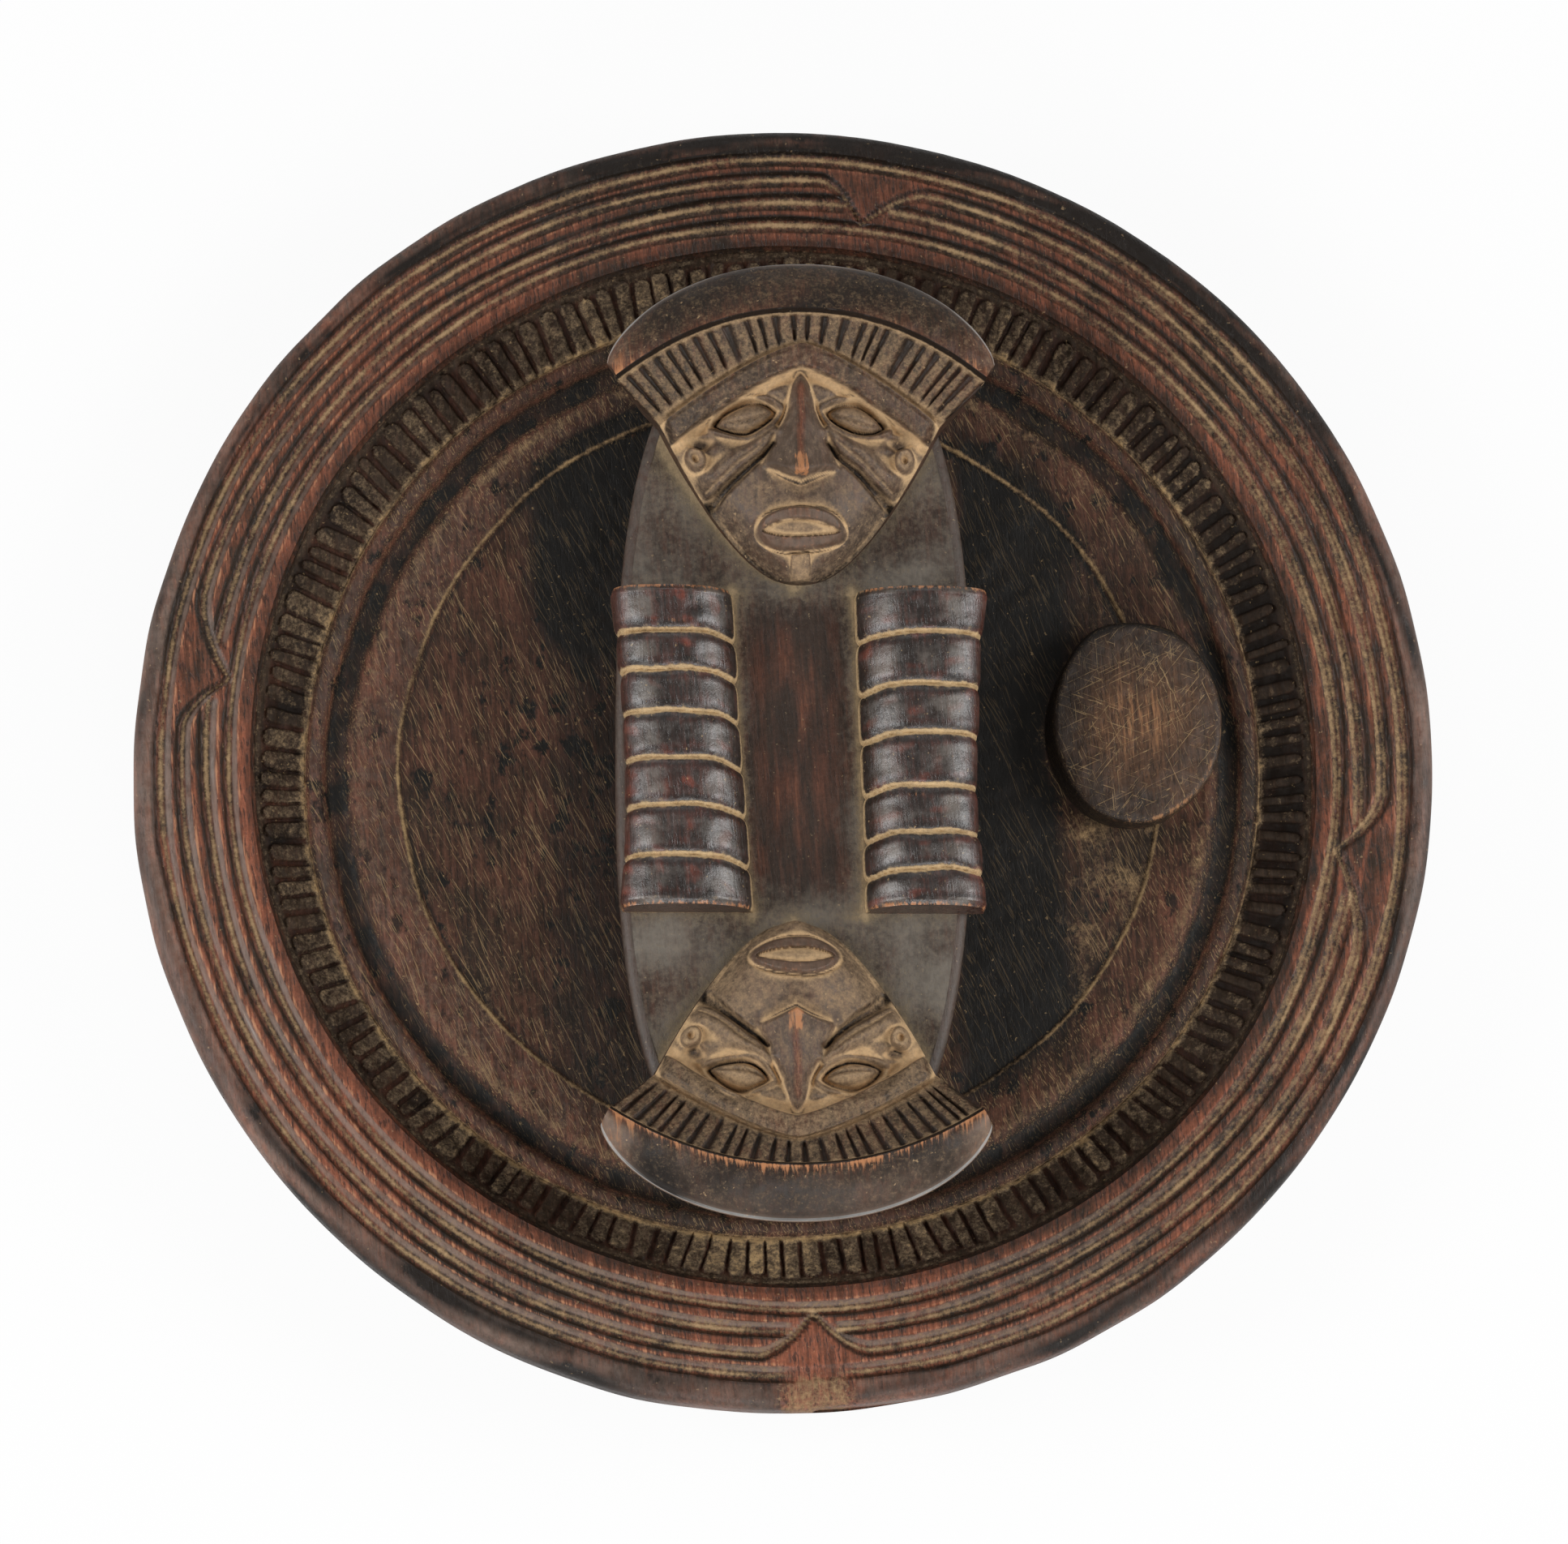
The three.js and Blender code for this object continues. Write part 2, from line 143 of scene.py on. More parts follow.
# How far the carver's rings stray from true circles: where, how wide, and by how much, in mm
RIM_STRAY = ((150.0, 24.0, 1.3), (332.0, 22.0, 1.4), (262.0, 34.0, -1.3), (100.0, 22.0, -0.6))
RIB_STRAY = (
    (25.0, 26.0, 0.9), (205.0, 34.0, 1.2), (113.0, 22.0, -1.5), (279.0, 26.0, -1.5), (338.0, 20.0, 0.7),
)
FLOOR_STRAY = ((180.0, 42.0, 1.5), (57.0, 24.0, -1.1), (300.0, 26.0, -1.6), (120.0, 20.0, 0.4))


def stray(angle, radius):
    """How far a ring lies outside its true radius: bumps round the dish, mixed by radius between the
    rim's, the ribs' and the floor's, and dying out at the outline and on the floor."""
    rim, ribs, floor = (
        sum(size * lobe(angle, place, width) for place, width, size in table)
        for table in (RIM_STRAY, RIB_STRAY, FLOOR_STRAY)
    )
    out = smooth(174.5, 168.0, radius) * smooth(128.0, 143.0, radius)
    middle = smooth(104.0, 116.0, radius) * smooth(143.0, 128.0, radius)
    inner = smooth(116.0, 104.0, radius) * smooth(78.0, 98.0, radius)
    return rim * out + ribs * middle + floor * inner


def outline_stray(angle):
    """How far the dish's outline lies outside its true circle."""
    return 0.3 * wander(angle, 3, 2, 7) + 0.12 * wander(angle, 4, 10, 40)


def ring_points(radius, angle, height):
    """A grid of points from their radius, angle and height."""
    return np.stack([radius * np.cos(angle), radius * np.sin(angle), height], -1)


def average(values, reach, axis, closed):
    """Running mean over 2 reach + 1 points along one axis of a grid."""
    pads = [(0, 0)] * values.ndim
    pads[axis] = (reach + 1, reach)
    padded = np.pad(values, pads, mode="wrap" if closed else "edge")
    sums = np.cumsum(padded, axis=axis)
    size = values.shape[axis]
    upper = np.take(sums, np.arange(2 * reach + 1, 2 * reach + 1 + size), axis=axis)
    lower = np.take(sums, np.arange(size), axis=axis)
    return (upper - lower) / (2 * reach + 1)


def slope(points, axis, closed):
    """Change of a grid's points along one axis."""
    if closed:
        return np.roll(points, -1, axis) - np.roll(points, 1, axis)
    return np.gradient(points, axis=axis)


def hollows(points, reach, closed, outward=1.0):
    """How deep, in mm, each point of a grid lies under the mean of its neighbours within reach rows
    and columns, measured along the grid's normal. Ridges come out negative."""
    mean = points
    for axis in (0, 1):
        for _ in range(2):
            mean = average(mean, reach[axis], axis, closed[axis])
    normal = np.cross(slope(points, 0, closed[0]), slope(points, 1, closed[1]))
    normal /= np.maximum(np.linalg.norm(normal, axis=-1, keepdims=True), 1e-9)
    return outward * ((mean - points) * normal).sum(-1)


def grid_quads(rows, columns, closed):
    """Corners of the squares of a grid whose points are numbered row by row."""
    i = np.arange(rows if closed[0] else rows - 1)
    j = np.arange(columns if closed[1] else columns - 1)
    i, j = (a.ravel() for a in np.meshgrid(i, j, indexing="ij"))
    down, right = (i + 1) % rows, (j + 1) % columns
    return np.stack([i * columns + j, down * columns + j, down * columns + right, i * columns + right], -1)


def fans(ring, hub):
    """Triangles from a closed ring of point numbers to one point."""
    return np.stack([ring, np.roll(ring, -1), np.full(ring.size, hub)], -1)


def build(name, points, closed, finish, caps=(), sharp_degrees=50.0):
    """A mesh object from a grid of points in mm, closed along the axes that closed names. Caps are
    0 for the first row and -1 for the last: each is filled with a fan to its own middle. Finish is
    a dict of dust, wear, soot with painted shade, red, and grey bloom with painted sheen, each a grid
    of values from 0 to 1."""
    rows, columns = points.shape[:2]
    flat = points.reshape(-1, 3)
    quads = grid_quads(rows, columns, closed)
    numbers = np.arange(rows * columns).reshape(rows, columns)
    hubs, triangles = [], []
    for cap in caps:
        ring = numbers[cap] if cap == -1 else numbers[cap][::-1]
        triangles.append(fans(ring, rows * columns + len(hubs)))
        hubs.append(points[cap].mean(0))
    everything = np.concatenate([flat, np.array(hubs).reshape(-1, 3)])
    triangles = np.concatenate(triangles) if triangles else np.zeros((0, 3), int)
    a, b, c, d = (everything[quads[:, k]] for k in range(4))
    volume = (a * np.cross(b, c)).sum() + (a * np.cross(c, d)).sum()
    e, f, g = (everything[triangles[:, k]] for k in range(3))
    volume += (e * np.cross(f, g)).sum()
    if volume < 0.0:
        quads, triangles = quads[:, ::-1], triangles[:, ::-1]
    corners = np.concatenate([quads.ravel(), triangles.ravel()])
    totals = np.concatenate([np.full(len(quads), 4), np.full(len(triangles), 3)])
    starts = np.concatenate([[0], np.cumsum(totals)[:-1]])
    mesh = bpy.data.meshes.new(name)
    mesh.vertices.add(len(everything))
    mesh.vertices.foreach_set("co", (everything * MM).astype(np.float32).ravel())
    mesh.loops.add(len(corners))
    mesh.loops.foreach_set("vertex_index", corners.astype(np.int32))
    mesh.polygons.add(len(totals))
    mesh.polygons.foreach_set("loop_start", starts.astype(np.int32))
    mesh.update(calc_edges=True)
    mesh.validate()
    channels = np.zeros((len(everything), 5), np.float32)
    for k, key in enumerate(("dust", "wear", "soot_and_shade", "red", "bloom_and_sheen")):
        if key in finish:
            channels[: rows * columns, k] = np.broadcast_to(finish[key], (rows, columns)).ravel()
    for k, cap in enumerate(caps):
        channels[rows * columns + k] = channels[numbers[cap]].mean(0)
    channels = np.clip(channels, 0.0, 1.0)
    layer = mesh.attributes.new("finish", "FLOAT_COLOR", "POINT")
    layer.data.foreach_set("color", channels[:, :4].ravel())
    layer = mesh.attributes.new("bloom_and_sheen", "FLOAT", "POINT")
    layer.data.foreach_set("value", channels[:, 4].copy())
    mesh.polygons.foreach_set("use_smooth", np.ones(len(totals), bool))
    mesh.set_sharp_from_angle(angle=np.radians(sharp_degrees))
    piece = bpy.data.objects.new(name, mesh)
    bpy.context.scene.collection.objects.link(piece)
    return piece


def widen(finish, shape, pads, fill=None):
    """A finish spread over a grid's shape and carried on over the rows and columns that pads names:
    with the nearest value, or with the plain one that fill gives."""
    wide = {}
    for key, value in finish.items():
        mode = {"mode": "edge"} if fill is None else {"constant_values": fill[key]}
        wide[key] = np.pad(np.broadcast_to(value, shape), pads, **mode)
    return wide


def seat(piece, body, slot, material, *nodes):
    """Gives a piece its material and its body, and hides the CAD nodes that it stands for."""
    piece.data.materials.append(material)
    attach(piece, body)
    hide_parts(*nodes)


# ---------------------------------------------------------------- materials


def tone(red, green, blue):
    """A colour given in screen values of 0 to 255."""
    share = np.array([red, green, blue]) / 255.0
    linear = np.where(share <= 0.04045, share / 12.92, ((share + 0.055) / 1.055) ** 2.4)
    return (*linear, 1.0)


class Recipe:
    """A material put together from nodes, with a short call for each kind."""

    def __init__(self, name):
        self.material = bpy.data.materials.new(name)
        self.material.use_nodes = True
        self.tree = self.material.node_tree
        self.tree.nodes.clear()
        self.place = self.node("ShaderNodeTexCoord").outputs["Object"]

    def node(self, kind, **settings):
        """A new node with its settings."""
        made = self.tree.nodes.new(kind)
        for key, value in settings.items():
            setattr(made, key, value)
        return made

    def feed(self, socket, value):
        """Gives a socket a link or a plain value."""
        if isinstance(value, bpy.types.NodeSocket):
            self.tree.links.new(value, socket)
        else:
            socket.default_value = value

    def math(self, operation, a, b, clamp=False):
        """One sum of a and b, kept between 0 and 1 if clamped."""
        made = self.node("ShaderNodeMath", operation=operation, use_clamp=clamp)
        self.feed(made.inputs[0], a)
        self.feed(made.inputs[1], b)
        return made.outputs[0]

    def step(self, value, low, high, start=0.0, end=1.0):
        """Smooth change from start to end as value goes from low to high."""
        made = self.node("ShaderNodeMapRange", interpolation_type="SMOOTHSTEP")
        for socket, number in zip(made.inputs, (value, low, high, start, end)):
            self.feed(socket, number)
        return made.outputs[0]

    def swing(self, value, low, high):
        """Smooth change from -0.5 to 0.5 as value goes from low to high."""
        return self.step(value, low, high, -0.5, 0.5)

    def times(self, a, b):
        """A product."""
        return self.math("MULTIPLY", a, b)

    def plus(self, value, other, factor, clamp=False):
        """Value and the other times a factor, added up."""
        return self.math("ADD", value, self.times(other, factor), clamp)

    def stretch(self, scale, turn_degrees=0.0, move=(0.0, 0.0, 0.0)):
        """Object coordinates turned about Z and then scaled along each axis."""
        turned = self.node("ShaderNodeMapping", vector_type="TEXTURE")
        self.feed(turned.inputs["Vector"], self.place)
        turned.inputs["Location"].default_value = move
        turned.inputs["Rotation"].default_value = (0.0, 0.0, np.radians(turn_degrees))
        scaled = self.node("ShaderNodeMapping")
        self.feed(scaled.inputs["Vector"], turned.outputs[0])
        scaled.inputs["Scale"].default_value = scale
        return scaled.outputs[0]

    def noise(self, scale, detail, rough, turn_degrees=0.0, move=(0.0, 0.0, 0.0)):
        """Noise with scale waves a metre along each axis, mostly between 0.3 and 0.7."""
        made = self.node("ShaderNodeTexNoise")
        self.feed(made.inputs["Vector"], self.stretch(scale, turn_degrees, move))
        made.inputs["Scale"].default_value = 1.0
        made.inputs["Detail"].default_value = detail
        made.inputs["Roughness"].default_value = rough
        return made.outputs["Fac"]

    def blend(self, share, a, b):
        """A colour a share of the way from a to b."""
        made = self.node("ShaderNodeMix", data_type="RGBA")
        self.feed(made.inputs[0], share)
        self.feed(made.inputs[6], a)
        self.feed(made.inputs[7], b)
        return made.outputs[2]

    def paint(self):
        """The piece's own dust, wear, soot with painted shade, red, and grey bloom with painted sheen."""
        finish = self.node("ShaderNodeAttribute", attribute_name="finish")
        split = self.node("ShaderNodeSeparateColor")
        self.feed(split.inputs[0], finish.outputs["Color"])
        bloom_and_sheen = self.node("ShaderNodeAttribute", attribute_name="bloom_and_sheen")
        return (*split.outputs[:3], finish.outputs["Alpha"], bloom_and_sheen.outputs["Fac"])

    def scale_colour(self, colour, value):
        """A colour made lighter or darker by a factor."""
        made = self.node("ShaderNodeVectorMath", operation="SCALE")
        self.feed(made.inputs[0], colour)
        self.feed(made.inputs["Scale"], value)
        return made.outputs[0]


# Woods, stains and dust, and the greys of bloom with painted sheen and of a painted glint
BLACK = tone(28, 21, 16)
DARK_WOOD = tone(58, 44, 34)
RED_WOOD = tone(122, 76, 57)
WORN_WOOD = tone(172, 118, 80)
# The grey of bloom with painted sheen, and the painted glint where that sheen is brightest
BLOOM_AND_SHEEN = tone(122, 113, 108)
PAINTED_GLINT = tone(176, 174, 170)
DUST = tone(132, 108, 74)
PALE_DUST = tone(204, 170, 122)

DUST_COVER = 0.85  # how much of the wood the thickest dust hides
RELIEF_DEPTH = 0.0004  # of the finest grain, in metres

# Turn in degrees and shift in metres of each set of parallel marks
KNIFE_CUTS = ((-38.0, 0.11), (24.0, 0.37), (71.0, 0.53), (-64.0, 0.83), (5.0, 0.29))
SCUFF_MARKS = ((26.0, 0.21), (33.0, 0.64), (19.0, 0.9))


def carved_wood(
    name, dark=DARK_WOOD, red=RED_WOOD, worn=WORN_WOOD, black=BLACK, sheen_tone=BLOOM_AND_SHEEN,
    dust_tone=DUST, pale_dust=PALE_DUST, pores=0.8, mottle=0.4, spots=0.3, dust_patches=0.4,
    polish=0.42, gloss=0.4, scratches=0.0, scuffs=0.0, specks=0.3, grain=0.45, fibres=1.0, bumps=0.6,
):
    """Oiled dark hardwood: brown to red in clouds, darker fibres and short black pores along Y,
    black stains and soot with painted shade, a grey bloom where hands polish it with painted sheen
    that turns into a painted glint at its brightest, edges worn to lighter wood, and dust in the
    cuts, all broken up finely. Scratches cross each other, and scuffs are short and run one way.
    Polish is the roughness where it is clean, and bumps the strength of the fine relief."""
    r = Recipe(name)
    dust, wear, soot_and_shade, ruddy, sheen = r.paint()
    cloud = r.noise((42.0, 30.0, 42.0), 5.0, 0.62)
    patch = r.noise((150.0, 100.0, 150.0), 5.0, 0.65, move=(0.4, 0.1, 0.0))
    fibre = r.noise((1000.0, 70.0, 600.0), 5.0, 0.7, turn_degrees=5.0)
    pore = r.noise((1500.0, 260.0, 1100.0), 2.0, 0.55, turn_degrees=8.0)
    grit = r.noise((1100.0, 1100.0, 1100.0), 4.0, 0.75)
    grime = r.noise((430.0, 380.0, 430.0), 5.0, 0.68)
    # ground colour
    warmth = r.plus(ruddy, r.swing(cloud, 0.35, 0.65), mottle)
    warmth = r.plus(warmth, r.swing(patch, 0.32, 0.68), mottle)
    warmth = r.plus(warmth, r.swing(fibre, 0.32, 0.68), 0.3, True)
    streak = r.step(fibre, 0.3, 0.7, 1.0 - 0.38 * fibres, 1.0 + 0.32 * fibres)
    colour = r.scale_colour(r.blend(warmth, dark, red), streak)
    colour = r.scale_colour(colour, r.step(grit, 0.3, 0.7, 0.82, 1.18))
    # grey bloom with painted sheen, a painted glint at its brightest, stains, and soot with painted shade
    sheen_cover = r.plus(sheen, r.swing(grime, 0.3, 0.7), 0.24)
    sheen_cover = r.times(r.step(sheen_cover, 0.1, 1.0), r.step(sheen, 0.0, 0.15))
    # Painted glint where the painted sheen is at its brightest
    grey = r.blend(r.step(sheen, 0.88, 1.0), sheen_tone, PAINTED_GLINT)
    colour = r.blend(r.times(sheen_cover, 0.8), colour, grey)
    stain = r.times(r.step(patch, 0.54, 0.66), spots)
    stained = r.math("ADD", r.times(soot_and_shade, r.step(cloud, 0.2, 0.6, 0.8, 1.1)), stain, True)
    colour = r.blend(stained, colour, black)
    open_pores = r.step(sheen, 0.15, 0.5, pores, 0.35 * pores)
    pored = r.times(r.step(pore, 0.54, 0.64), open_pores)
    colour = r.blend(pored, colour, black)
    # edges worn through, in fibres
    rubbed = r.plus(wear, r.step(fibre, 0.35, 0.65, -0.5, 0.4), 0.8)
    rubbed = r.times(r.step(rubbed, 0.3, 0.85), r.step(wear, 0.02, 0.25))
    colour = r.blend(rubbed, colour, worn)
    # dust
    settle = r.plus(dust, r.swing(grime, 0.3, 0.7), dust_patches)
    settle = r.plus(settle, r.swing(grit, 0.3, 0.7), grain)
    settled = r.times(r.step(settle, 0.2, 0.8), r.step(dust, 0.01, 0.2))
    settled = r.times(settled, DUST_COVER)
    colour = r.blend(settled, colour, r.blend(r.step(settle, 0.55, 1.25), dust_tone, pale_dust))
    fleck = r.noise((760.0, 700.0, 760.0), 2.0, 0.6, move=(0.2, 0.3, 0.1))
    colour = r.blend(r.times(r.step(fleck, 0.68, 0.75), specks), colour, pale_dust)
    # knife cuts and scuffs
    marks = 0.0
    for strength, lines, size, threshold in (
        (scratches, KNIFE_CUTS, (3400.0, 22.0, 3400.0), 0.665),
        (scuffs, SCUFF_MARKS, (3000.0, 32.0, 3000.0), 0.64),
    ):
        if strength:
            cut = 0.0
            for turn, place in lines:
                line = r.noise(size, 1.5, 0.5, turn_degrees=turn, move=(place, place, 0.0))
                cut = r.math("MAXIMUM", cut, r.step(line, threshold, threshold + 0.06))
            marks = r.math("MAXIMUM", marks, r.times(cut, strength))
    if scratches or scuffs:
        marks = r.times(marks, r.step(soot_and_shade, 0.35, 0.9, 1.0, 0.3))
        colour = r.blend(marks, colour, pale_dust)
    # gloss
    rough = r.step(grime, 0.3, 0.75, polish - 0.05, polish + 0.15)
    rough = r.plus(rough, settled, 0.4, True)
    rough = r.plus(rough, pored, 0.2, True)
    # fine relief
    height = r.plus(r.times(fibre, 0.5), pored, -0.5)
    height = r.plus(height, grime, 0.8)
    height = r.plus(height, r.times(grit, settled), 0.6)
    if scratches or scuffs:
        height = r.plus(height, marks, -0.6)
    bump = r.node("ShaderNodeBump")
    bump.inputs["Strength"].default_value = bumps
    bump.inputs["Distance"].default_value = RELIEF_DEPTH
    r.feed(bump.inputs["Height"], height)
    shader = r.node("ShaderNodeBsdfPrincipled")
    r.feed(shader.inputs["Base Color"], colour)
    r.feed(shader.inputs["Roughness"], rough)
    r.feed(shader.inputs["Normal"], bump.outputs[0])
    shader.inputs["Specular IOR Level"].default_value = gloss
    out = r.node("ShaderNodeOutputMaterial")
    r.feed(out.inputs[0], shader.outputs[0])
    return r.material


rim_wood = carved_wood(
    "rim_wood", red=tone(132, 78, 57), worn=tone(172, 122, 90), sheen_tone=tone(140, 118, 106),
    dust_tone=tone(144, 118, 86), pale_dust=tone(192, 160, 120), mottle=0.5, pores=0.66,
    spots=0.25, gloss=0.3, grain=0.35,
)
rib_wood = carved_wood(
    "rib_wood", dark=tone(62, 49, 38), red=tone(80, 46, 34), dust_tone=tone(120, 102, 81),
    mottle=0.12, pores=0.2, spots=0.2, polish=0.55, gloss=0.12,
)
floor_wood = carved_wood(
    "floor_wood", red=tone(112, 72, 56), black=tone(27, 25, 23), dust_tone=tone(130, 106, 79),
    mottle=0.45, pores=0.4, spots=0.8, polish=0.5, gloss=0.22, scuffs=0.3, grain=0.35,
)
block_wood = carved_wood(
    "block_wood", dark=tone(54, 42, 34), red=tone(112, 79, 56), worn=tone(156, 112, 76), pores=0.5,
    spots=0.2, polish=0.5, gloss=0.3, scratches=0.42, specks=0.1, grain=0.2, fibres=0.7,
)
board_wood = carved_wood(
    "board_wood", dark=tone(60, 47, 39), red=tone(100, 62, 47), sheen_tone=tone(126, 119, 109),
    dust_tone=tone(124, 108, 84), pale_dust=tone(176, 152, 116), pores=0.3, mottle=0.2, spots=0.08,
    dust_patches=0.2, polish=0.44, gloss=0.35, specks=0.35, grain=0.2, fibres=0.5,
)
head_wood = carved_wood(
    "head_wood", dark=tone(60, 47, 36), red=tone(116, 70, 50), sheen_tone=tone(128, 108, 93),
    dust_tone=tone(162, 135, 103), pale_dust=tone(220, 184, 138), pores=0.3, mottle=0.2, spots=0.1,
    dust_patches=0.2, polish=0.44, gloss=0.26, specks=0.35, grain=0.24, fibres=0.6, bumps=0.4,
)
roll_wood = carved_wood(
    "roll_wood", dark=tone(46, 37, 33), red=tone(110, 58, 46), sheen_tone=tone(128, 119, 110),
    dust_tone=tone(160, 133, 95), pale_dust=tone(214, 182, 134), pores=0.3, mottle=0.2, spots=0.3,
    dust_patches=0.3, polish=0.3, gloss=0.75, specks=0.35, grain=0.3, fibres=0.8,
)

# ---------------------------------------------------------------- rim

# Where the rim's grooves dip to a point: apex angle, and how far each arm reaches before and after
# it, going round from +X towards +Y.
MOTIFS = ((82.0, 17.0, 12.0), (171.5, 22.0, 14.0), (273.0, 15.0, 15.0), (351.3, 27.0, 17.0))
PATCH_PLACE = 273.2  # the worn patch, in degrees
GROOVES = ((8.1, 4.3, 1.5), (13.7, 4.2, 1.4), (20.2, 4.4, 1.5), (26.1, 4.1, 1.4))  # place, width, depth


def arm_drop(angle):
    """How far the second groove has dropped towards the fourth: 0 away from a motif and 1 at its
    apex, as a power of the distance left to the arm's start."""
    drop = np.zeros_like(angle)
    for apex, before, after in MOTIFS:
        along = np.angle(np.exp(1j * (angle - np.radians(apex)))) * (BOWL_RADIUS - 20.0)
        reach = np.where(along < 0.0, before, after)
        drop = np.maximum(drop, np.clip(1.0 - np.abs(along) / reach, 0.0, 1.0) ** 1.6)
    return drop


def gouge(across):
    """A groove's section from -1 at its outer edge to 1 at its inner edge: one less a power of the
    distance from the middle, a high power outside for a steep wall and a low one inside."""
    power = np.where(across < 0.0, 4.5, 2.3)
    return 1.0 - np.clip(np.abs(across), 0.0, 1.0) ** power


def rim_cuts(angle, inset):
    """Depth of all four grooves under the rim's top, and where their bottoms, outer walls, inner
    walls and inner edges lie. The second groove's arms run to the fourth, and the third stops there."""
    drop = arm_drop(angle)
    cuts, bottom, outer_wall, inner_wall, brow = (np.zeros_like(inset) for _ in range(5))
    arm = None
    for number, (place, width, depth) in enumerate(GROOVES):
        middle = place + 0.2 * wander(angle, 11 + number, 3, 14)
        wide = width * (1.0 + 0.1 * wander(angle, 31 + number, 3, 20))
        deep = depth * (1.0 + 0.13 * wander(angle, 51 + number, 4, 30))
        if number == 1:
            middle = mix(middle, GROOVES[3][0] - 1.2, drop)
            wide = wide * mix(1.0, 0.6, drop)
            arm = middle
        if number == 2:
            deep = deep * smooth(0.8, 2.6, middle - arm)
        if number == 0:
            deep = deep * (1.0 - 0.7 * smooth(0.08, 0.03, np.abs(angle - np.radians(PATCH_PLACE))))
        across = (inset - middle) / (wide / 2.0)
        share = deep / depth
        cuts = np.maximum(cuts, gouge(across) * deep)
        bottom = np.maximum(bottom, share * bell(across, -0.12, 0.34))
        outer_wall = np.maximum(outer_wall, share * smooth(-0.5, -0.85, across) * smooth(-1.4, -1.1, across))
        inner_wall = np.maximum(inner_wall, share * smooth(0.12, 0.5, across) * smooth(1.1, 0.85, across))
        brow = np.maximum(brow, share * bell(across, 1.15, 0.2))
    return cuts, bottom, outer_wall, inner_wall, brow


def rim_height(inset):
    """The rim's top, which falls from its middle to both edges as the square of the way across."""
    across = 2.0 * inset / RIM_WIDTH - 1.0
    return RIM_TOP - RIM_FALL * across**2


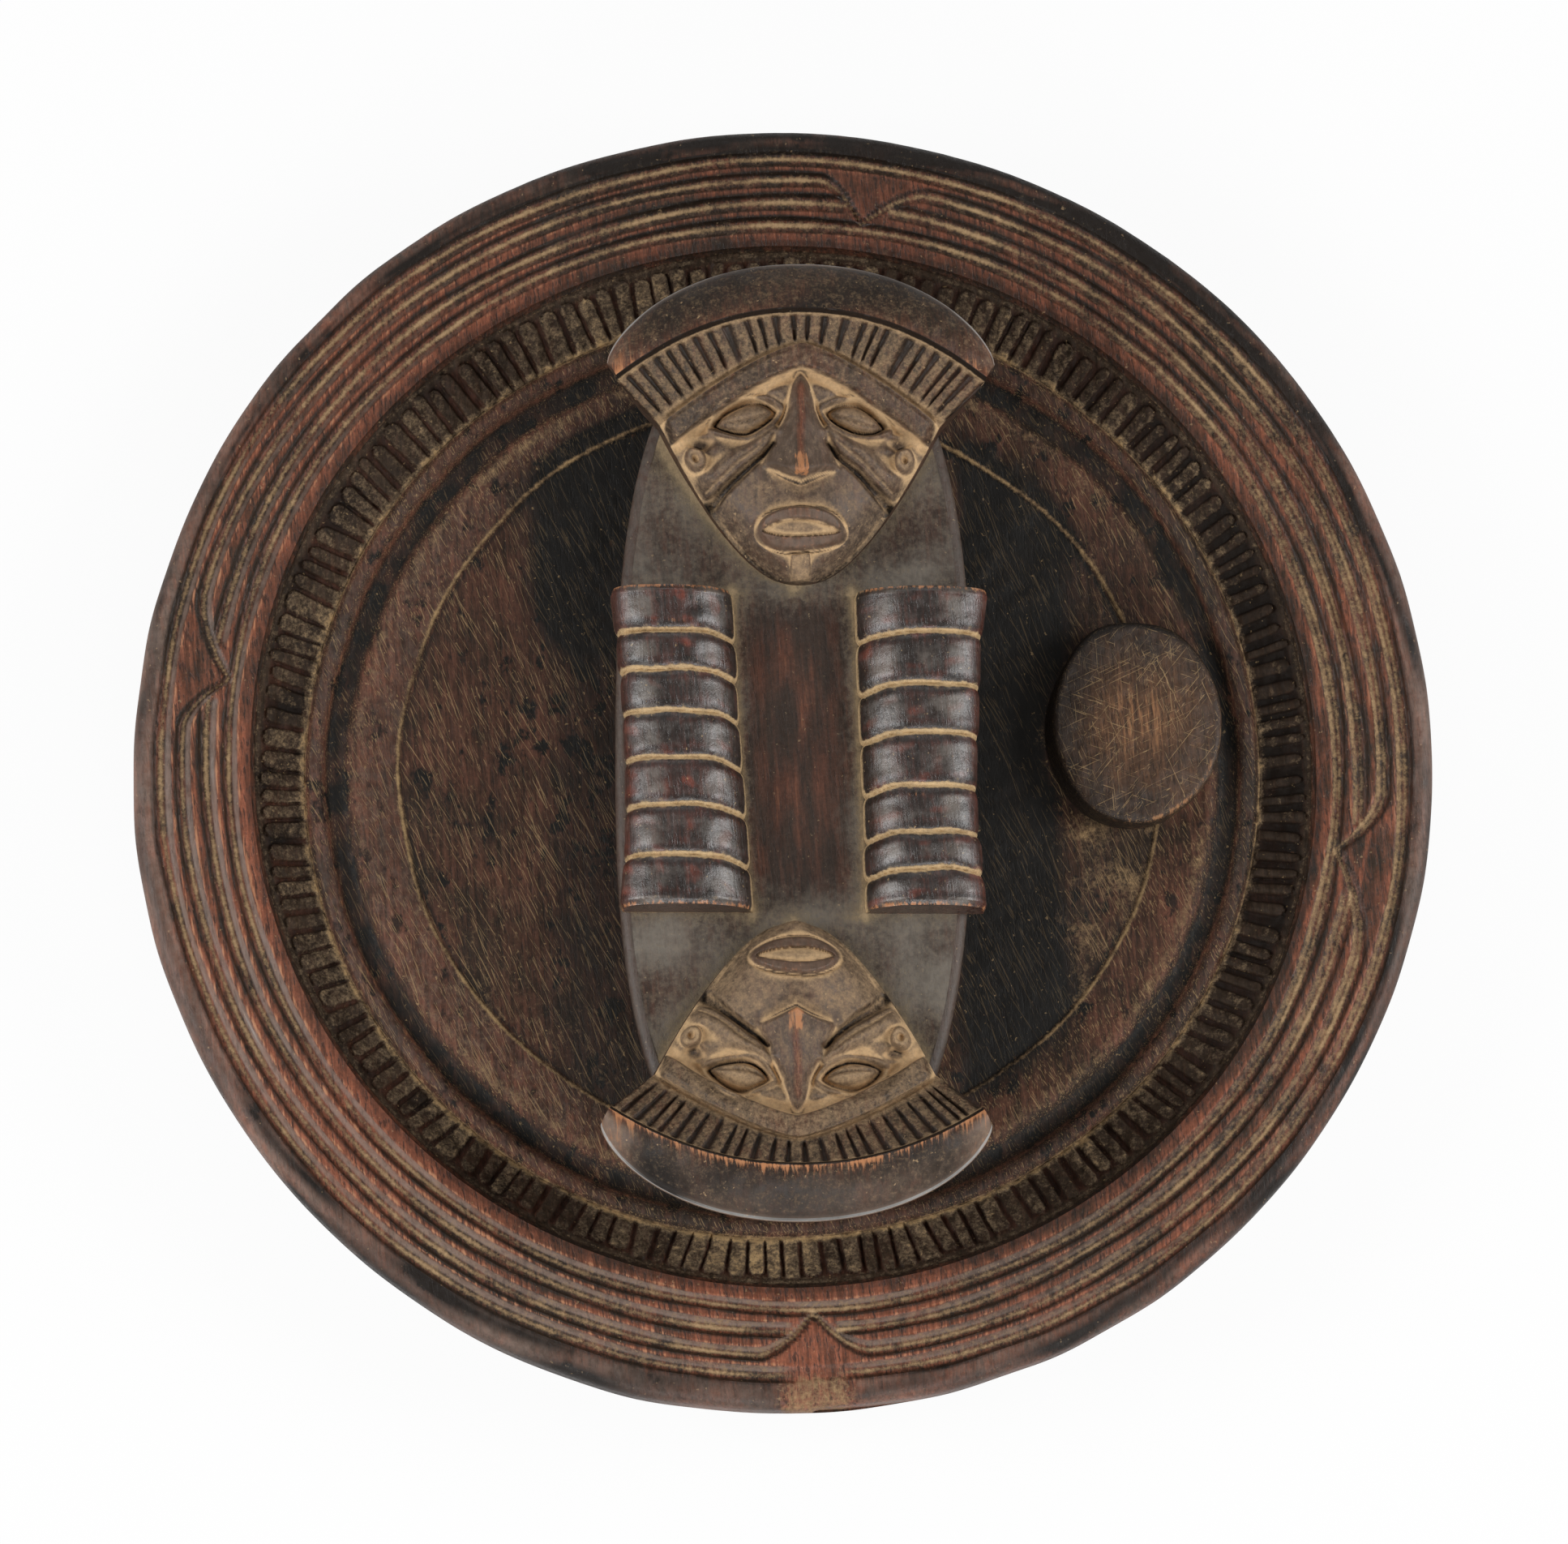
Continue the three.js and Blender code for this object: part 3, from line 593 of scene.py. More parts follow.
def make_rim():
    """The rim's top, lip and inner step as a closed ring. Its section runs from the lip's lower
    corner up the side, over a quarter round, across the grooves, and down the inner step."""
    angle = round_turn(1000)
    side = np.linspace(0.0, 1.0, 4, endpoint=False)
    quarter = np.linspace(0.0, np.pi / 2.0, 8, endpoint=False)
    flat = np.linspace(LIP_ROUND, RIM_WIDTH, 78)
    step = np.linspace(0.0, 1.0, 5)[1:]
    lip_top = rim_height(LIP_ROUND)
    inset = np.concatenate([
        np.zeros(4), LIP_ROUND * (1.0 - np.cos(quarter)), flat, RIM_WIDTH + STEP_WIDTH * step**1.5,
        [RIM_WIDTH + STEP_WIDTH, 17.0],
    ])[:, None]
    height = np.concatenate([
        mix(LIP_BOTTOM, lip_top - LIP_ROUND, side), lip_top - LIP_ROUND * (1.0 - np.sin(quarter)),
        rim_height(flat), rim_height(RIM_WIDTH) - STEP_DROP * step, [LIP_BOTTOM, LIP_BOTTOM],
    ])[:, None]
    visible = (np.arange(inset.size) < inset.size - 2)[:, None]
    on_top = visible * (inset > LIP_ROUND - 0.01) * (inset < RIM_WIDTH + 0.01)
    inset = inset + np.zeros_like(angle)
    cuts, bottom, outer_wall, inner_wall, brow = rim_cuts(angle, inset)
    radius = BOWL_RADIUS - inset
    x, y = radius * np.cos(angle), radius * np.sin(angle)
    uneven = 0.08 * ripple(x, y, 7.0, 5) + 0.12 * ripple(x, y, 30.0, 6)
    height = height - on_top * cuts + visible * uneven
    degrees = np.degrees(angle)
    chip = 0.7 * smooth(272.6, 273.0, degrees) * smooth(283.0, 274.0, degrees)
    radius = radius + (outline_stray(angle) - chip) * smooth(20.0, 0.0, inset) + stray(angle, radius)
    # worn patch at the front, which breaks the first groove
    patch_edge = inset + 0.5 * ripple(x, y, 6.0, 10) + 0.25 * np.abs(degrees - PATCH_PLACE)
    patch = smooth(268.4, 271.0, degrees) * smooth(277.8, 274.8, degrees)
    patch = patch * smooth(8.4, 6.0, patch_edge) * visible
    # how light, dark or ruddy each side is: painted light on the left, right and front sides, painted shade
    # at the top, and the ruddy places
    lip = smooth(6.9, 4.9, inset) * visible
    lit_side = 0.75 * lobe(angle, 195.0, 75.0) + 0.75 * lobe(angle, 5.0, 32.0)
    lit_side = lit_side + 0.3 * lobe(angle, 265.0, 40.0)
    front_side = lobe(angle, 262.0, 40.0)
    shaded_top_side = lobe(angle, 92.0, 48.0)
    right_side = lobe(angle, 2.0, 48.0)
    ruddy_patch = smooth(0.2, 1.0, ripple(60.0 * angle, 2.5 * inset, 9.0, 12))
    dust = bottom * (0.72 + 0.16 * wander(angle, 7, 5, 40) - 0.12 * lobe(angle, 10.0, 35.0))
    dust = on_top * dust * (1.0 - patch) + 0.5 * patch
    dust += 0.3 * smooth(RIM_WIDTH + 0.5, RIM_WIDTH + STEP_WIDTH, inset) * visible
    # Dust, and dust's tone on the grooves' inner walls at the right and front as a painted highlight
    dust += 0.12 * shaded_top_side * on_top + (0.66 * right_side + 0.3 * front_side) * on_top * inner_wall
    # Soot and painted shade: the lip darker at the back and in patches, painted shade on the grooves' outer
    # walls and down the inner step, and darker lands at the right
    soot_and_shade = lip * (0.8 * lobe(angle, 72.0, 52.0) + 0.45 * lobe(angle, 320.0, 30.0))
    soot_and_shade += lip * 0.45 * lobe(angle, 240.0, 36.0)
    soot_and_shade += lip * (0.2 + 0.3 * ripple(60.0 * angle, 4.0 * inset, 16.0, 9))
    soot_and_shade += (0.36 + 0.3 * shaded_top_side) * on_top * outer_wall + 0.2 * shaded_top_side * on_top
    soot_and_shade += 0.4 * smooth(29.8, 30.6, inset) * visible * (1.0 - 0.5 * lobe(angle, 180.0, 45.0))
    soot_and_shade += 0.12 * right_side * on_top * (1.0 - bottom) * (1.0 - inner_wall) * (1.0 - ruddy_patch)
    soot_and_shade = soot_and_shade * (1.0 - patch)
    land = on_top * np.clip(1.0 - bottom - outer_wall - inner_wall, 0.0, 1.0) * (1.0 - lip)
    red = 0.55 * land * (1.0 - 0.35 * shaded_top_side - 0.8 * right_side * (1.0 - ruddy_patch))
    red += 0.15 + 0.25 * lip + on_top * (0.3 * brow - 0.14 * lobe(angle, 268.0, 40.0))
    red += 0.14 * wander(angle, 8, 3, 9) + 0.3 * patch
    # Painted sheen on the grooves' inner walls and the lip, brighter on the lit sides and dimmer at the top
    # and right
    bloom_and_sheen = inner_wall * (0.45 + 0.4 * lit_side) * (1.0 - 0.5 * shaded_top_side) * (1.0 - 0.6 * right_side)
    bloom_and_sheen = (on_top * bloom_and_sheen + lip * (0.3 + 0.4 * lit_side)) * (1.0 - patch)
    # Worn inner edges of the grooves and worn lands, brighter on the lit sides as a painted highlight
    wear = 0.36 * on_top * brow * (0.5 + lit_side) * (1.0 - 0.4 * right_side) + 0.24 * patch
    wear += 0.12 * land * lit_side * (1.0 - 0.7 * right_side)
    finish = {"dust": dust, "wear": wear, "soot_and_shade": soot_and_shade, "red": red, "bloom_and_sheen": bloom_and_sheen}
    piece = build("rim", ring_points(radius, angle, height), (True, True), finish)
    seat(piece, "bowl", "dish_wood", rim_wood, "dish_rim")


def make_ribs():
    """The wall of gouged ribs: a slope from the rim's inner step to the bead, with flat pads whose
    edges round down into narrow cuts. Each rib has its own height, ends and scoop."""
    columns_a_rib = 18
    angle = round_turn(RIB_COUNT * columns_a_rib)
    share = np.linspace(0.0, 1.0, 30)[:, None]
    radius = mix(RIB_OUTER, RIB_INNER, share) + np.zeros_like(angle)
    ground = mix(RIB_TOP - 0.2, RIB_FOOT, share) - 0.5 * np.sin(np.pi * share)
    right = np.clip(lobe(angle, 5.0, 50.0), 0.0, 1.0)
    left = np.clip(lobe(angle, 190.0, 55.0), 0.0, 1.0)
    lean = 0.22 * wander(angle, 71, 5, 40) * (share - 0.5)
    phase = RIB_COUNT * angle / (2.0 * np.pi) + 0.16 * wander(angle, 72, 8, 40) + lean
    number = np.floor(phase).astype(int) % RIB_COUNT
    rng = np.random.default_rng(73)
    tall = 1.0 + 0.3 * rng.uniform(-1.0, 1.0, RIB_COUNT)[number]
    end = 0.06 * rng.uniform(-1.0, 1.0, RIB_COUNT)[number]
    scoop = rng.uniform(0.0, 1.0, RIB_COUNT)[number]
    shade = rng.uniform(-1.0, 1.0, RIB_COUNT)[number]
    across = np.abs(2.0 * (phase - np.floor(phase)) - 1.0)
    outer_end = np.sqrt(np.clip(1.0 - np.clip((0.27 + end - share) / 0.13, 0.0, 1.0) ** 2, 0.0, 1.0))
    half_width = (0.78 - 0.2 * right + 0.1 * shade) * outer_end
    pad = smooth(half_width + 0.12, half_width - 0.16, across) * smooth(0.0, 0.2, half_width)
    inner_end = smooth(1.03, 0.88, share + end)
    body = pad * inner_end
    height = ground + (1.35 - (0.25 + 0.9 * right) * across**2) * tall * body
    x, y = radius * np.cos(angle), radius * np.sin(angle)
    height += 0.2 * ripple(x, y, 3.4, 74) + 0.14 * ripple(x, y, 9.0, 75)
    height -= body * scoop * (0.15 + 0.7 * left) * bell(share, 0.6, 0.18)
    height[0] = RIB_TOP
    radius = radius + stray(angle, radius)
    near = hollows(np.stack([x, y, height], -1), (1, 2), (False, True))
    # finish: dust, wear, red, and soot with painted shade in the cuts and on the pads' rounded sides
    gap = (1.0 - pad) * smooth(0.1, 0.2, share) * smooth(1.0, 0.92, share)
    shelf = bell(share, 0.05, 0.035)
    tail = smooth(0.84, 0.97, share)
    front = lobe(angle, 262.0, 45.0)
    back = lobe(angle, 90.0, 40.0)
    dust = 0.3 + 0.1 * wander(angle, 76, 3, 20) + 0.18 * front + 0.16 * back - 0.2 * right + 0.12 * shade
    dust = dust + (0.05 + 0.12 * right) * ripple(x, y, 5.0, 79)
    dust = dust * (1.0 - 0.85 * gap) + 0.12 * smooth(0.1, 0.4, -near)
    dust = (dust + (0.4 + 0.3 * front) * tail) * (1.0 - 0.8 * smooth(0.16, 0.1, share)) + 0.3 * shelf
    # Soot with painted shade in the cuts between the pads and on their rounded sides, darker at the right and
    # left
    soot_and_shade = 0.28 * gap + 0.12 + (0.34 + 0.3 * gap) * right + 0.16 * left - 0.14 * front
    soot_and_shade += 0.3 * bell(pad, 0.5, 0.3) * (share > 0.13) * (share < 0.93)
    soot_and_shade = soot_and_shade + 0.25 * ripple(x, y, 14.0, 78) * (0.4 + left) - 0.1 * shelf
    wear = smooth(0.1, 0.4, -near) * 0.15
    # two hidden rows underneath
    finish = {"dust": dust, "wear": wear, "soot_and_shade": soot_and_shade, "red": 0.7 * gap}
    finish = widen(finish, radius.shape, ((0, 2), (0, 0)))
    below = np.array([RIB_INNER, RIB_OUTER])[:, None] + np.zeros_like(angle)
    radius = np.concatenate([radius, below + stray(angle, below)])
    height = np.concatenate([height, np.array([[HEART_HEIGHT], [LIP_BOTTOM]]) + np.zeros_like(angle)])
    piece = build("ribs", ring_points(radius, angle, height), (True, True), finish)
    seat(piece, "bowl", "dish_wood", rib_wood, "dish_rim")


# Radius and height of the floor's rings, from the ribs in: bead, channel, slope, step, floor
FLOOR_PROFILE = np.array([
    (128.4, 27.6), (127.8, 27.9), (127.1, 28.6), (126.1, 28.95), (125.0, 28.85), (124.0, 28.3), (123.2, 27.4),
    (122.6, 26.2), (121.6, 25.0), (120.2, 24.4), (118.6, 24.4), (117.2, 25.0), (116.2, 25.9), (115.2, 26.3),
    (113.3, 26.4), (109.8, 25.9), (105.8, 25.3), (103.2, 25.0), (102.3, 24.85), (101.9, 24.5), (101.5, 24.1),
    (101.0, 24.0), (98.8, 24.0), (60.0, 24.0), (1.0, 24.0),
])


def make_floor():
    """The bead, channel, slope and flat floor as a closed disc: rings of the profile table, let
    stray a little, and a flat hidden underside."""
    angle = round_turn(720)
    rings = np.concatenate([
        np.linspace(RIB_INNER, 122.4, 22), np.linspace(122.1, 115.3, 20), np.linspace(114.8, 103.2, 17),
        np.linspace(102.8, 100.8, 9), np.linspace(99.8, 1.0, 56),
    ])[:, None]
    ring = rings + np.zeros_like(angle)
    height = np.interp(ring, FLOOR_PROFILE[::-1, 0], FLOOR_PROFILE[::-1, 1])
    for _ in range(2):
        height = average(height, 1, 0, False)
    radius = ring + stray(angle, ring) + 0.3 * wander(angle, 81, 2, 16) * smooth(RIB_INNER, 124.0, ring)
    x, y = radius * np.cos(angle), radius * np.sin(angle)
    height += 0.16 * ripple(x, y, 24.0, 82) + 0.08 * ripple(x, y, 6.0, 83)
    height[0] = RIB_FOOT
    near = hollows(np.stack([x, y, height], -1), (3, 2), (False, True))

    # how dusty, dark and worn each place is, by ring and by side, with a painted highlight on the slope,
    # painted shade in the channel, under the step and beside the wall, and painted sheen on the bead
    front_left = lobe(angle, 215.0, 50.0)
    left = smooth(-30.0, -60.0, x)
    front_right = smooth(66.0, 78.0, x + 0.12 * y) * smooth(40.0, 0.0, y)
    back_right = smooth(70.0, 84.0, x) * smooth(0.0, 30.0, y)
    flat = smooth(101.9, 100.7, ring)
    slope_zone = smooth(116.4, 114.4, ring) * smooth(101.6, 102.6, ring)
    patchy = 0.5 + 0.35 * ripple(x, y, 22.0, 89)
    dust = slope_zone * (0.03 + 0.12 * patchy + 0.08 * front_left)
    # Dust's tone along the slope's outer part as a painted highlight
    dust += 0.3 * bell(ring, 113.8, 1.6) * (0.6 + 0.5 * wander(angle, 86, 2, 7))
    dust += 0.95 * bell(ring, 102.1, 0.6) * (0.8 + 0.2 * wander(angle, 85, 2, 12))
    dust += 0.7 * smooth(127.5, 128.2, ring) + 0.2 * bell(ring, 126.9, 0.5)
    dust += flat * 0.18 * front_left * smooth(60.0, 95.0, ring)
    dust += flat * patchy * (0.62 * front_right + 0.36 * back_right)
    dust += smooth(0.08, 0.35, near) * 0.2
    # Painted shade in the channel and in the line under the step, with soot
    channel = smooth(123.2, 121.8, ring) * smooth(115.8, 117.8, ring)
    soot_and_shade = channel * (0.78 + 0.16 * ripple(x, y, 12.0, 90))
    soot_and_shade += 0.75 * bell(ring, 100.6, 0.6) * (0.7 + 0.3 * wander(angle, 84, 3, 15))
    black_right = smooth(44.0, 52.0, x) * (1.0 - front_right) * (1.0 - 0.8 * back_right)
    black_right = black_right * (0.92 + 0.15 * ripple(x, y, 30.0, 87))
    black_left = smooth(-78.0, -58.0, x) * smooth(25.0, 50.0, y) * smooth(0.0, -20.0, x)
    shade_beside_wall = smooth(-70.0, -54.0, x) * smooth(0.0, -20.0, x)
    inside = smooth(112.0, 100.0, ring)
    soot_and_shade += inside * (0.95 * black_right + 0.95 * black_left + 0.45 * shade_beside_wall + 0.25)
    # Painted shade on the slope at the back and on the bead, away from the lit left
    soot_and_shade += 0.3 * slope_zone * lobe(angle, 60.0, 60.0) + 0.3 * slope_zone * lobe(angle, 120.0, 25.0)
    bead = smooth(127.6, 126.6, ring) * smooth(122.4, 123.4, ring)
    soot_and_shade += 0.3 * bead * (1.0 - 0.6 * lobe(angle, 195.0, 70.0))
    red = 0.2 + 0.2 * left + 0.12 * ripple(x, y, 26.0, 88) + 0.1 * bead + 0.5 * bell(ring, 122.9, 0.6)
    red += 0.25 * slope_zone
    # Painted sheen on the bead where the left and right lamps fall, and on the slope at the left
    bloom_and_sheen = 0.4 * bead * (0.4 + 0.5 * lobe(angle, 195.0, 70.0) + 0.4 * lobe(angle, 5.0, 40.0))
    bloom_and_sheen += 0.3 * slope_zone * left
    wear = 0.35 * bell(ring, 123.1, 0.5) * (0.4 + 0.5 * lobe(angle, 215.0, 60.0))
    wear += 0.15 * smooth(0.08, 0.3, -near)
    # two hidden rows underneath
    finish = {"dust": dust, "wear": wear, "soot_and_shade": soot_and_shade, "red": red, "bloom_and_sheen": bloom_and_sheen}
    finish = widen(finish, ring.shape, ((2, 0), (0, 0)))
    below = np.array([1.0, RIB_INNER])[:, None] + np.zeros_like(angle)
    radius = np.concatenate([below + stray(angle, below), radius])
    height = np.concatenate([np.full(below.shape, HEART_HEIGHT), height])
    piece = build("floor", ring_points(radius, angle, height), (False, True), finish, caps=(0, -1))
    seat(piece, "bowl", "dish_wood", floor_wood, "dish_floor", "dish_rim")


def make_underside():
    """The foot and the underside, rising as a power of the way from the foot to the lip, under the
    hidden faces of the pieces above."""
    angle = round_turn(480)
    share = np.linspace(0.0, 1.0, 40)
    out = mix(FOOT_RADIUS, BOWL_RADIUS, share)
    rise = mix(FOOT_HEIGHT, LIP_BOTTOM, share**1.5)
    foot = [
        (2.0, 0.0), (40.0, 0.0), (74.0, 0.0), (75.5, 0.1), (76.8, 0.6), (77.6, 1.3), (78.0, 2.4), (78.0, 5.0),
        (78.2, 7.6),
    ]
    hidden = [(RIB_OUTER, LIP_BOTTOM), (RIB_INNER, HEART_HEIGHT), (2.0, HEART_HEIGHT)]
    profile = np.array(foot + list(zip(out, rise)) + hidden)
    radius = profile[:, :1] + np.zeros_like(angle)
    height = profile[:, 1:] + np.zeros_like(angle)
    x, y = radius * np.cos(angle), radius * np.sin(angle)
    tooled = smooth(80.0, 90.0, radius) * smooth(174.0, 165.0, radius) * (height < 29.0)
    height = height + tooled * (0.25 * ripple(x, y, 16.0, 91) + 0.2 * ripple(x, y, 45.0, 92))
    above = (np.arange(len(profile)) >= len(profile) - len(hidden))[:, None]
    edge = smooth(160.0, 175.0, radius) * outline_stray(angle)
    radius = radius + np.where(above, stray(angle, radius), edge)
    soot_and_shade = 0.35 + 0.3 * ripple(x, y, 60.0, 93)
    finish = {"dust": 0.12, "soot_and_shade": soot_and_shade, "red": 0.25, "bloom_and_sheen": 0.15}
    piece = build("underside", ring_points(radius, angle, height), (False, True), finish, caps=(0, -1))
    seat(piece, "bowl", "dish_wood", rim_wood, "dish_rim", "dish_floor")


def make_block():
    """The cutting block: an oval that widens a little upwards and leans in at the left, with a worn
    edge and a slightly uneven top."""
    angle = round_turn(300)
    side = np.linspace(0.0, 1.0, 16, endpoint=False)[:, None]
    arc = np.linspace(0.0, np.pi / 2.0, 12, endpoint=False)[:, None]
    top = np.linspace(0.0, 1.0, 60)[:, None]
    edge = 1.9
    inset = np.concatenate([0.6 * (1.0 - side) ** 1.5, edge * (1.0 - np.cos(arc)), mix(edge, 22.6, top)])
    height = np.concatenate([
        mix(FLOOR_TOP, BLOCK_TOP - edge, side), BLOCK_TOP - edge * (1.0 - np.sin(arc)), BLOCK_TOP + 0.0 * top,
    ])
    wavering = 0.3 * wander(angle, 101, 2, 8) * smooth(8.0, 0.0, inset)
    leaning = 2.3 * lobe(angle, 200.0, 60.0) * smooth(FLOOR_TOP, BLOCK_TOP, height)
    wavering = wavering - leaning * smooth(16.0, 0.0, inset)
    x = (BLOCK_HALF[0] - inset + wavering) * np.cos(angle)
    y = (BLOCK_HALF[1] - inset * BLOCK_HALF[1] / BLOCK_HALF[0] + wavering) * np.sin(angle)
    height = height + 0.0 * angle
    uneven = 0.08 * ripple(x, y, 5.0, 102) + 0.1 * ripple(x, y, 18.0, 103)
    height += smooth(BLOCK_TOP - 3.0, BLOCK_TOP, height) * uneven
    points = np.stack([x + BLOCK_CENTRE[0], y + BLOCK_CENTRE[1], height], -1)
    level = smooth(BLOCK_TOP - 2.4, BLOCK_TOP - 0.4, height)
    from_middle = np.hypot(x / BLOCK_HALF[0], y / BLOCK_HALF[1])
    # The front edge worn and lit, with a painted highlight; painted shade on the side, at the left and on the
    # back edge
    worn_and_lit_front = lobe(angle, 315.0, 60.0)
    shaded_left = lobe(angle, 170.0, 55.0) * smooth(0.25, 0.6, from_middle)
    shaded_back_edge = smooth(0.9, 0.97, from_middle) * lobe(angle, 100.0, 55.0)
    red = 0.25 + 0.4 * smooth(0.8, 0.2, from_middle)
    soot_and_shade = 0.75 * (1.0 - level) * (1.0 - 0.6 * worn_and_lit_front)
    soot_and_shade += 0.4 * smooth(0.5, 0.95, from_middle) * (1.0 - 0.7 * worn_and_lit_front)
    soot_and_shade += 0.1 + 0.42 * shaded_left + 0.6 * shaded_back_edge
    wear = level * 0.42 * smooth(0.66, 0.1, from_middle)
    wear += 0.6 * bell(from_middle, 0.96, 0.025) * worn_and_lit_front
    bloom_and_sheen = 0.3 * level * smooth(0.3, 0.8, from_middle)
    finish = {"dust": 0.07 * level, "wear": wear, "soot_and_shade": soot_and_shade, "red": red, "bloom_and_sheen": bloom_and_sheen}
    piece = build("block", points, (False, True), finish, caps=(0, -1))
    seat(piece, "bowl", "block_wood", block_wood, "cutting_block")


# ---------------------------------------------------------------- compartment and lid


def boat(turn, half_width, half_length):
    """A boat outline with blunt ends, longest along Y, round the compartment's middle."""
    return half_width * blunt(np.cos(turn), 0.7), half_length * blunt(np.sin(turn), 0.77)


def make_wall():
    """The compartment's wall as a closed ring of boat outlines with softened top edges."""
    turn = round_turn(360)
    soft = 0.8
    up = np.linspace(0.0, 1.0, 14)[:-1]
    section = np.array(
        [(h, 0.0) for h in mix(FLOOR_TOP, WALL_TOP - soft, up)]
        + [(WALL_TOP - 0.3 * soft, 0.25), (WALL_TOP, soft), (WALL_TOP, 2.0)]
        + [(WALL_TOP, WALL_THICKNESS - soft), (WALL_TOP - 0.3 * soft, WALL_THICKNESS - 0.25)]
        + [(h, WALL_THICKNESS) for h in mix(WALL_TOP - soft, FLOOR_TOP, up)]
        + [(FLOOR_TOP, WALL_THICKNESS)]
    )
    inset = section[:, 1:]
    x, y = boat(turn, WALL_HALF_WIDTH - inset, WALL_HALF_LENGTH - inset)
    height = section[:, :1] + 0.0 * turn
    tool = 0.15 * ripple(y, height, 12.0, 111) + 0.1 * ripple(y, height, 5.0, 112)
    tool = tool * (height > FLOOR_TOP + 1.0)
    outward = np.where(inset < WALL_THICKNESS / 2.0, 1.0, -1.0)
    shrink = (height < WALL_TOP - 1.0) * outward * (tool - 0.25)
    x, y = x * (1.0 + shrink / WALL_HALF_WIDTH), y * (1.0 + shrink / WALL_HALF_LENGTH)
    points = np.stack([x + SHIFT, y, height], -1)
    dust = 0.5 * smooth(FLOOR_TOP + 3.0, FLOOR_TOP, height)
    soot_and_shade = 0.5 + 0.2 * ripple(y, height, 30.0, 113)
    piece = build("wall", points, (True, True), {"dust": dust, "soot_and_shade": soot_and_shade, "red": 0.25})
    seat(piece, "bowl", "dish_wood", floor_wood, "compartment_wall")


def roll_edges(along):
    """The rolls' inner and outer edges at the board, left and right, as the carver ran them."""
    share = np.clip((along + 43.0) / 86.0, 0.0, 1.0)
    steps = (0.0, 0.2, 0.4, 0.8, 1.0)
    left_inner = mix(-9.0, -14.8, share)
    left_outer = np.interp(share, steps, (-44.3, -43.1, -43.2, -45.2, -47.3))
    right_inner = mix(21.0, 17.8, share)
    right_outer = np.interp(share, steps, (53.0, 51.5, 50.9, 51.8, 54.0))
    return left_outer - SHIFT, left_inner - SHIFT, right_inner - SHIFT, right_outer - SHIFT


